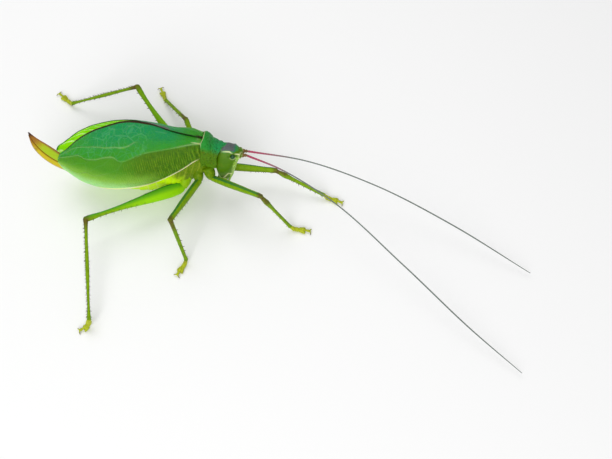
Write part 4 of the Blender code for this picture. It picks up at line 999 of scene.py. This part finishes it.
def wing_face(tag, u, v):
    """Points of a wing's outer face, in the body's frame."""
    first, last = TEGMEN_STATIONS[0][0], TEGMEN_STATIONS[-1][0]
    x = first + (last - first) * u
    rise, offset, widest, half, low, low_offset, flatness = np.moveaxis(smooth(TEGMEN_STATIONS, x), -1, 0)
    turn = np.radians(flatness)
    rise = rise + smooth(EDGE_LIFTS[tag], x)[..., 0]
    if tag == "l":
        over = np.clip((x - OVERLAP_END) / (first - OVERLAP_END), 0, 1) ** 0.5
        behind = np.clip((OVERLAP_END - x) / 12.0, 0, 1) * (np.clip((x - last) / 6.0, 0, 1) * 0.7 + 0.3)
        offset = offset - OVERLAP_FRONT * over
        rise = rise + LEFT_RISE_FRONT * over + LEFT_RISE_REAR * behind
        rise = rise + LEFT_RISE_MIDDLE * (1 - over) * (1 - behind)
    share = 0.45
    angle = turn * (1 - np.minimum(v, share) / share)
    out = (np.cos(angle) - np.cos(turn)) / (1 - np.cos(turn))
    y = offset + (half - offset) * out
    z = widest + (rise - widest) * np.sin(angle) / np.sin(turn)
    lower = v > share
    angle = COSTAL_TURN * (v - share) / (1 - share)
    back = (1 - np.cos(angle)) / (1 - math.cos(COSTAL_TURN))
    y = np.where(lower, half + (low_offset - half) * back, y)
    z = np.where(lower, widest + (low - widest) * np.sin(angle) / math.sin(COSTAL_TURN), z)
    return vectors(x + TIP_SHIFTS[tag] * ramp(u, 0.8, 1.0), SIDES[tag] * y, z)


def make_wing(tag, finish):
    """A cupped, leaf-like fore wing with raised veins, thinner towards its edges."""
    columns, rows = 250, 150
    side = SIDES[tag]
    left = tag == "l"
    u = np.sin(math.pi / 2 * np.linspace(0, 1, columns)) ** 0.92
    u, v = np.meshgrid(u, np.linspace(0, 1, rows), indexing="ij")
    outer = wing_face(tag, u, v)
    sink = (0.8 if left else 0.5) * ramp(v, 0.5, 0.0)
    outer = outer + ramp(u, 0.04, 0.0)[..., None] * vectors(1.3, -0.22 * outer[..., 1], -sink)
    if left:
        shoulder = 0.55 * ramp(u, 0.2, 0.03) * bell(v - 0.25, 0.2)
        outer = outer + shoulder[..., None] * (0.0, 0.75, 0.65)
    normal = unit(np.cross(np.gradient(outer, axis=1), np.gradient(outer, axis=0))) * side
    length = TEGMEN_STATIONS[0][0] - TEGMEN_STATIONS[-1][0]
    run = u * length
    fall = np.pad(np.linalg.norm(np.diff(outer, axis=1), axis=-1).cumsum(1), ((0, 0), (1, 0)))
    depth = fall[:, -1:]
    edge = depth - fall
    fade = ramp(u, 0.0, 0.05) * ramp(u, 1.0, 0.94)
    gaps = [(v - smooth(line, u[:, 0])) * depth for line in (SECOND_VEIN, RADIAL_VEIN, LOWER_VEIN)]
    vein = np.maximum.reduce([
        bell(gaps[0], 0.11) * ramp(u, 0.36, 0.44),
        bell(gaps[1], 0.14) * (0.35 + 0.65 * np.maximum(ramp(u, 0.5, 0.56), ramp(u, 0.2, 0.05))),
        bell(gaps[2], 0.1) * ramp(u, 0.58, 0.64),
    ])
    spread = vectors(run, v * depth)
    cross = np.zeros_like(u)
    for line in CROSS_VEINS:
        line = [(share * length, at * np.interp(share, u[:, 0], depth[:, 0])) for share, at in line]
        cross = np.maximum(cross, bell(from_line(spread, line), 0.075) * (0.6 if line[0][1] < 3.2 else 0.2))
    cream = bell(edge, 0.22 + 0.14 * ramp(u, 0.3, 0.5)) * ramp(u, 0.78, 0.62) * ramp(u, 0.008, 0.035)
    if not left:
        cream = np.maximum.reduce([
            cream,
            bell(from_line(spread, ((0.5, 0.2), (0.45, 0.9))), 0.09) * 0.7,
            bell(from_line(spread, ((0.1, 1.0), (1.1, 1.12))), 0.08) * 0.6,
        ])
    strip = ramp(u, 0.17, 0.2) * ramp(u, 0.38, 0.32) * ramp(fall, 1.3, 0.9) * left
    puff = np.sin(run * 2.4 + 1.5 * np.sin(fall * 1.1)) * np.sin(fall * 2.0 + 1.2 * np.sin(run * 0.9)) * 0.03
    rise = bell(gaps[0], 0.12) * 0.1 + bell(gaps[1], 0.14) * 0.16 + bell(gaps[2], 0.1) * 0.06 + cross * 0.05
    rise += bell(edge, 0.22) * (0.1 + 0.16 * ramp(u, 0.25, 0.45) * ramp(u, 0.8, 0.65))
    rise = rise * fade + puff * ramp(u, 0.06, 0.3) * ramp(v, 0.02, 0.1) * ramp(v, 1.0, 0.9)
    thick = 0.16 + 0.12 * ramp(np.minimum(v, 1 - v) * depth, 0.0, 1.5)
    top = outer + normal * rise[..., None]
    under = outer - normal * (thick - rise * 0.4)[..., None]

    # The two faces, and a rim of faces that joins their borders
    shift = columns * rows
    column, row = np.meshgrid(np.arange(columns - 1), np.arange(rows - 1), indexing="ij")
    a = (column * rows + row).ravel()
    upper = np.stack((a, a + 1, a + rows + 1, a + rows), 1)
    border = np.concatenate((
        np.arange(rows),
        np.arange(2, columns + 1) * rows - 1,
        (columns - 1) * rows + np.arange(rows - 2, -1, -1),
        np.arange(columns - 2, 0, -1) * rows,
    ))
    after = np.roll(border, -1)
    rim = np.stack((border, shift + border, shift + after, after), 1)

    def both(values):
        """Values for the points of the outer face, then the same for the inner one."""
        return np.concatenate((values.reshape(-1, *values.shape[2:]),) * 2)

    form = Form()
    points = np.concatenate((top.reshape(-1, 3), under.reshape(-1, 3)))
    form.add(in_model(points), np.concatenate((upper, (upper + shift)[:, ::-1], rim)), {
        "share": both(vectors(u, v, side)),
        "wing": np.column_stack((both(run + 40.0 * left), both(fall), np.repeat((0.0, 1.0), shift))),
        "field": both(gaps[1]),
        "vein": both(vein),
        "cross": both(cross),
        "cream": both(cream),
        "strip": both(strip),
    })
    wing = form.make("wing_" + tag, finish)
    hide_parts("tegmen_" + tag)


def make_blade(finish):
    """The upturned egg-laying blade, in two valves with a fine seam and toothed edges."""
    form = Form()
    wide, tall = oval(around(28), 2.3)
    for upper, last, blunt in ((True, 0.99, 0.32), (False, 0.96, 0.5)):
        s = np.linspace(-0.06, last, 110)
        angle = OVIPOSITOR_START + OVIPOSITOR_TURN * s
        centre = OVIPOSITOR_ROOT + OVIPOSITOR_RADIUS * vectors(
            math.sin(OVIPOSITOR_START) - np.sin(angle), 0.0, math.cos(OVIPOSITOR_START) - np.cos(angle))
        half = OVIPOSITOR_WIDTH / 2 * np.clip(1 - np.clip(s, 0, 1) ** 2.8, 0, 1) ** 0.8
        half = np.maximum(half, blunt) * np.sqrt(np.clip((last + 0.004 - s) / 0.02, 0.05, 1))
        thick = OVIPOSITOR_THICKNESS / 2 * (1 - 0.72 * np.clip(s, 0, 1))
        teeth = 0.07 * np.abs(np.sin(s * 120.0)) * ramp(s, 0.62, 0.75) * ramp(s, 1.0, 0.95)
        seam = -0.1 * half
        upper_edge = half + teeth + 0.75 * bell(s - 0.6, 0.26)
        lower_edge = -half - teeth + 0.3 * bell(s - 0.9, 0.14)
        low, high = (seam + 0.012, upper_edge) if upper else (lower_edge, seam - 0.012)
        height = (low + high)[:, None] / 2 + tall * (high - low)[:, None] / 2
        share = height / np.where(height > 0, upper_edge[:, None], -lower_edge[:, None])
        bulge = np.sqrt(np.clip(1 - share ** 2 * 0.8, 0.05, 1))
        rib = 1 + 0.1 * bell(np.abs(share) - 0.62, 0.1)
        rings = centre[:, None] + vectors(np.sin(angle), 0.0, np.cos(angle))[:, None] * height[..., None]
        rings[..., 1] += wide * thick[:, None] * bulge * rib
        form.loft(rings, blade=vectors(s[:, None], share, float(not upper)),
                  spot=bell(from_place(rings, (-40.0, 0.0, -2.4)), 0.4))
    blade = form.make("egg_blade", finish)
    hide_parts("ovipositor_upper", "ovipositor_lower")


def leg_joints(leg):
    """Coxa root, hip, knee and ankle of a leg, in the model's frame."""
    pair, tag = leg.split("_")
    sizes, stance = LEG_SIZES[pair], STANCE[leg]
    socket, hip = (in_model(np.array(sizes[joint]) * (1, SIDES[tag], 1)) for joint in ("socket", "hip"))
    ankle = np.array(stance["ankle"]) - MODEL_CENTRE
    span = np.linalg.norm(ankle - hip)
    axis = (ankle - hip) / span
    upward = unit(UPRIGHT - axis * axis[2])
    sideways = np.cross(axis, upward)
    along = (sizes["femur"] ** 2 - sizes["tibia"] ** 2 + span ** 2) / (2 * span)
    rise = math.sqrt(sizes["femur"] ** 2 - along ** 2)
    lean = math.radians(stance["lean"])
    knee = hip + axis * along + (upward * math.cos(lean) + sideways * math.sin(lean)) * rise
    return socket, hip, knee, ankle


class Limb:
    """One segment of a leg, which folds towards one side and may bow away from it."""

    def __init__(self, start, end, fold, shape, bow=0.0):
        self.start, self.end, self.shape, self.bow = start, end, shape, bow
        self.along = unit(end - start)
        self.depth = unit(fold - self.along * (fold @ self.along))
        self.width = np.cross(self.along, self.depth)

    def out(self, turn):
        """The way out of the skin at each angle from the side it folds to."""
        return self.depth * np.cos(turn)[..., None] + self.width * np.sin(turn)[..., None]

    def skin(self, place, turn, rim=1.0):
        """Points of the skin, at shares of the way along and angles round."""
        half_depth, half_width = np.moveaxis(smooth(self.shape, place), -1, 0)
        away = self.bow * ramp(place, 0.0, 0.3) * ramp(place, 0.95, 0.3)
        middle = self.start + place[..., None] * (self.end - self.start) - self.depth * away[..., None]
        return (middle + self.depth * (np.cos(turn) * half_depth * rim)[..., None]
                + self.width * (np.sin(turn) * half_width * rim)[..., None])

    def add_to(self, form, segment, rows, sides, hind, groove=0.0, tint=1.0):
        """Add the closed skin, with grooves along it and marks for its paint."""
        shape, turn = self.shape, around(sides)
        place = np.unique(np.concatenate((
            np.linspace(shape[0][0], shape[-1][0], rows),
            np.linspace(shape[0][0], shape[2][0], 10),
            np.linspace(shape[-3][0], shape[-1][0], 10),
        )))[:, None]
        rim = 1 - groove * (bell(np.cos(turn) + 1.0, 0.1) + 0.8 * bell(np.cos(turn), 0.16))
        ridge = unit(unit(UPRIGHT - self.along * self.along[2]) * 0.55 - self.depth)
        form.loft(self.skin(place, turn, rim), False, limb=vectors(float(segment), place, np.cos(turn)),
                  back=self.out(turn) @ ridge * tint, hind=float(hind), dark=0.0)


def foot_place(ankle, along, distance):
    """Where a foot's middle line runs over the floor, and how far it slopes down."""
    raised = ankle[2] - FLAT_ANKLE
    slope_length = raised / math.sin(FOOT_SLOPE)
    sloping = np.minimum(distance, slope_length)
    reach = sloping * math.cos(FOOT_SLOPE) + distance - sloping
    slope = FOOT_SLOPE * np.clip((slope_length - distance) / 0.5 + 0.3, 0, 1) * (raised > 0)
    place = np.array((ankle[0], ankle[1], raised)) + along * reach[..., None]
    place[..., 2] -= sloping * math.sin(FOOT_SLOPE)
    return place, slope


def make_foot(form, leg, ankle, hind):
    """Four jointed lengths with pads on the floor, the third with two lobes, and two claws."""
    length = STANCE[leg]["tarsus"]
    heading = math.radians(STANCE[leg]["heading"])
    along = np.array((math.cos(heading), math.sin(heading), 0.0))
    across = np.cross(UPRIGHT, along)
    side, rise = oval(around(20), 2.4)
    first, second, last = FOOT_PARTS
    for stations, lean in ((first, 0), (second, 0), (FOOT_LOBE, 1), (FOOT_LOBE, -1), (last, 0)):
        share = np.linspace(stations[0][0], stations[-1][0], 26)
        half_width, under, top = np.moveaxis(smooth(stations, share), -1, 0)
        place, slope = foot_place(ankle, along, share * length)
        up = UPRIGHT * np.cos(slope)[:, None] + along * np.sin(slope)[:, None]
        spread = lean * (0.16 + 0.34 * np.linspace(0, 1, 26) ** 1.5)
        middle = place + UPRIGHT * ((under + top) / 2)[:, None] + across * spread[:, None]
        rings = (middle[:, None] + across * (side * half_width[:, None])[..., None]
                 + up[:, None] * (rise * ((top - under) / 2)[:, None])[..., None])
        rings[..., 2] = np.maximum(rings[..., 2], 0.0)
        form.loft(rings, False, limb=vectors(3.0, share[:, None], rise), back=rise, hind=float(hind),
                  dark=0.0)
    root = foot_place(ankle, along, np.array(length * 0.93))[0]
    root[2] = 0.58
    t = np.linspace(0, 1, 22)[:, None]
    for lean in (1, -1):
        path = (root + along * (0.05 + 0.55 * t - 0.25 * t ** 3) + across * (lean * (0.1 + 0.78 * t ** 1.1))
                + UPRIGHT * (0.22 * t - 0.66 * t ** 2.6))
        rings = tube(path, 0.17 * (1 - t[:, 0]) ** 0.7 + 0.02, 10)
        rings[..., 2] = np.maximum(rings[..., 2], 0.0)
        form.loft(rings, False, limb=vectors(3.0, t, np.zeros(10)), back=0.0, hind=float(hind),
                  dark=ramp(t, 0.35, 0.8))


def thorn_tree(finish):
    """A node tree that sets a small thorn on each point, turned along the point's lead."""
    tree = bpy.data.node_groups.new("thorns", "GeometryNodeTree")
    face = tree.interface
    face.new_socket("Geometry", in_out="INPUT", socket_type="NodeSocketGeometry")
    root_radius = face.new_socket("Root radius", in_out="INPUT", socket_type="NodeSocketFloat")
    face.new_socket("Geometry", in_out="OUTPUT", socket_type="NodeSocketGeometry")
    entry, leave, cone, lead, size, turn, setter, real, colour = (tree.nodes.new(kind) for kind in (
        "NodeGroupInput", "NodeGroupOutput", "GeometryNodeMeshCone", "GeometryNodeInputNamedAttribute",
        "GeometryNodeInputNamedAttribute", "FunctionNodeAlignRotationToVector",
        "GeometryNodeInstanceOnPoints", "GeometryNodeRealizeInstances", "GeometryNodeSetMaterial",
    ))
    for key, value in (("Vertices", 6), ("Side Segments", 3), ("Fill Segments", 1), ("Radius Top", 0.01),
                       ("Depth", 1.0)):
        cone.inputs[key].default_value = value
    for node, kind, name in ((lead, "FLOAT_VECTOR", "lead"), (size, "FLOAT", "size")):
        node.data_type = kind
        node.inputs["Name"].default_value = name
    turn.axis = "Z"
    colour.inputs["Material"].default_value = finish
    for source, output, target, entrance in (
        (entry, "Root radius", cone, "Radius Bottom"),
        (entry, "Geometry", setter, "Points"),
        (cone, "Mesh", setter, "Instance"),
        (lead, "Attribute", turn, "Vector"),
        (turn, "Rotation", setter, "Rotation"),
        (size, "Attribute", setter, "Scale"),
        (setter, "Instances", real, "Geometry"),
        (real, "Geometry", colour, "Geometry"),
        (colour, "Geometry", leave, "Geometry"),
    ):
        tree.links.new(source.outputs[output], target.inputs[entrance])
    return tree, root_radius.identifier


def set_thorns(name, points, leads, sizes, slim, tree, root_radius):
    """Thorns as one plain mesh, from points, leads and lengths in millimetres."""
    mesh = bpy.data.meshes.new(name + "_roots")
    mesh.from_pydata((np.array(points) * MM).tolist(), [], [])
    mesh.attributes.new("lead", "FLOAT_VECTOR", "POINT").data.foreach_set("vector", np.array(leads).ravel())
    mesh.attributes.new("size", "FLOAT", "POINT").data.foreach_set("value", np.array(sizes) * MM)
    roots = in_scene(name + "_roots", mesh)
    modifier = roots.modifiers.new("Thorns", "NODES")
    modifier.node_group = tree
    modifier[root_radius] = slim
    bpy.context.view_layer.update()
    shape = roots.evaluated_get(bpy.context.evaluated_depsgraph_get())
    result = bpy.data.meshes.new_from_object(shape)
    bpy.data.objects.remove(roots, do_unlink=True)
    result.name = name
    result.shade_smooth()
    item = in_scene(name, result)
    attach(item, "root")


def make_legs(finish, thorn_finish):
    """Six legs, each one skin from coxa to foot, with their spines and fine hairs."""
    chance = np.random.default_rng(SEED)
    tree, root_radius = thorn_tree(thorn_finish)
    spines, hairs = ([], [], []), ([], [], [])
    for leg in STANCE:
        pair = leg.split("_")[0]
        hind = pair == "hind"
        socket, hip, knee, ankle = leg_joints(leg)
        bend = np.cross(knee - hip, ankle - knee)
        femur_fold, tibia_fold = np.cross(bend, knee - hip), np.cross(bend, ankle - knee)
        form = Form()
        Limb(socket, hip, femur_fold, COXA_SHAPES[pair]).add_to(form, 0, 30, 32, hind)
        femur = Limb(hip, knee, femur_fold, FEMUR_SHAPES[pair], FEMUR_BOWS.get(leg, 0.0))
        tibia = Limb(knee, ankle, tibia_fold, TIBIA_SHAPES[pair])
        for segment, kind, limb in ((1, "femur_", femur), (2, "tibia_", tibia)):
            limb.add_to(form, segment, 110, 28, hind, 0.05, BACK_TINTS.get(leg, 1.0))
            for degrees, first, last, count, length in SPINE_ROWS[kind + pair]:
                place = np.linspace(first, last, count)
                place += chance.uniform(-0.25, 0.25, count) * (last - first) / count
                turn = np.full(count, math.radians(degrees))
                lean = SPINE_LEAN * chance.uniform(0.7, 1.3, count)[:, None]
                lead = limb.out(turn) * np.cos(lean) + limb.along * np.sin(lean)
                spines[0].extend(limb.skin(place, turn) - lead * SPINE_ROOT)
                spines[1].extend(lead)
                spines[2].extend((length + SPINE_ROOT) * chance.uniform(0.8, 1.15, count))
            count = HAIR_COUNTS[pair]
            place = chance.uniform(0.03, 0.98, count)
            turn = chance.uniform(0, 2 * math.pi, count)
            hairs[0].extend(limb.skin(place, turn))
            hairs[1].extend(unit(limb.out(turn) * 0.7 + limb.along * 0.8))
            hairs[2].extend(chance.uniform(0.12, 0.26, count))
        make_foot(form, leg, ankle, hind)
        skin = form.make("leg_" + leg, finish)
        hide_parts("coxa_" + leg, "femur_" + leg, "tibia_" + leg, "tarsus_" + leg)
    set_thorns("leg_spines", *spines, 0.2, tree, root_radius)
    set_thorns("leg_hairs", *hairs, 0.07, tree, root_radius)


def make_feeler(tag, finish):
    """A scape, a pedicel and a long ringed whip, as one tapering piece."""
    form = Form()
    mirror = (1, SIDES[tag], 1)
    socket, root = in_model(SCAPE_TIP * mirror), in_model((SCAPE_ROOT + (-0.15, 0, 0)) * mirror)
    reach = np.linspace(0, 1, 30)
    scape = tube(root + reach[:, None] * (socket - root), smooth(SCAPE_RADII, reach)[:, 0], 24)
    form.loft(scape, False, place=reach[:, None] * SCAPE_SHARE, ring=0.0)
    start = socket - unit(socket - root) * 0.1
    route = np.vstack((start, np.array(FEELER_ROUTES[tag]) - MODEL_CENTRE))
    distance = np.append(0.0, np.linalg.norm(np.diff(route, axis=0), axis=1).cumsum())
    stations = np.column_stack((distance / distance[-1], route))
    count = int(distance[-1] * FEELER_RINGS_PER_MM)
    s = np.linspace(0, 1, count * 5 + 1)
    part = s * count % 1
    radii = smooth(FEELER_RADII, s)[:, 0] * (0.94 + 0.1 * bell(part - 0.8, 0.25))
    whip = tube(smooth(stations, s), radii, 10)
    form.loft(whip, False, place=(SCAPE_SHARE + s * (1 - SCAPE_SHARE))[:, None],
              ring=bell(np.minimum(part, 1 - part), 0.12)[:, None])
    feeler = form.make("feeler_" + tag, finish)
    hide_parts("scape_" + tag, *("feeler_%s_%d" % (tag, number) for number in (1, 2, 3)))


def aim(item, lead):
    """Turn a camera or a lamp to look along a direction."""
    item.rotation_mode = "QUATERNION"
    item.rotation_quaternion = lead.normalized().to_track_quat("-Z", "Y")


def make_camera():
    """The photo's view: from above and the animal's right."""
    camera = in_scene("camera", bpy.data.cameras.new("camera"))
    camera.location = Vector((CAMERA_PLACE - MODEL_CENTRE) * MM)
    aim(camera, CAMERA_LEAD)
    camera.data.sensor_width = SENSOR_WIDTH
    camera.data.lens = FOCAL_LENGTH_PX * SENSOR_WIDTH / PHOTO_WIDTH_PX
    camera.data.clip_start = 0.005
    camera.data.clip_end = 5.0
    bpy.context.scene.camera = camera


def make_floor():
    """A plain pale floor under the whole view."""
    mesh = bpy.data.meshes.new("floor")
    corners = [(x * FLOOR_REACH, y * FLOOR_REACH, 0) for x, y in ((-1, -1), (1, -1), (1, 1), (-1, 1))]
    mesh.from_pydata(corners, [], [(0, 1, 2, 3)])
    mesh.materials.append(Paint("floor_pale").finish((0.93, 0.93, 0.93), 0.8))
    floor = in_scene("floor", mesh)


def make_lights():
    """Soft studio light: a broad lamp behind and above, a weaker one in front."""
    for name, place, size, power in LAMPS:
        lamp = bpy.data.lights.new(name, "AREA")
        lamp.energy = power
        lamp.size = size
        item = in_scene(name, lamp)
        item.location = place
        aim(item, -Vector(place))
    world = bpy.data.worlds.new("studio")
    bpy.context.scene.world = world
    world.use_nodes = True
    sky = world.node_tree.nodes["Background"]
    sky.inputs["Color"].default_value = (1.0, 1.0, 1.0, 1.0)
    sky.inputs["Strength"].default_value = SKY_STRENGTH
    bpy.context.scene.view_settings.view_transform = "Standard"


def main():
    make_camera()
    make_floor()
    make_lights()
    make_shield(paint_shield())
    make_trunk(paint_trunk())
    make_head(paint_head())
    make_eyes(paint_eye())
    make_mouth(paint_mouth())
    wing = paint_wing()
    make_wing("l", wing)
    make_wing("r", wing)
    make_blade(paint_blade())
    leg = paint_leg()
    make_legs(leg, Paint("thorn_brown").finish((0.09, 0.07, 0.02), 0.4))
    feeler = paint_feeler()
    make_feeler("l", feeler)
    make_feeler("r", feeler)


main()
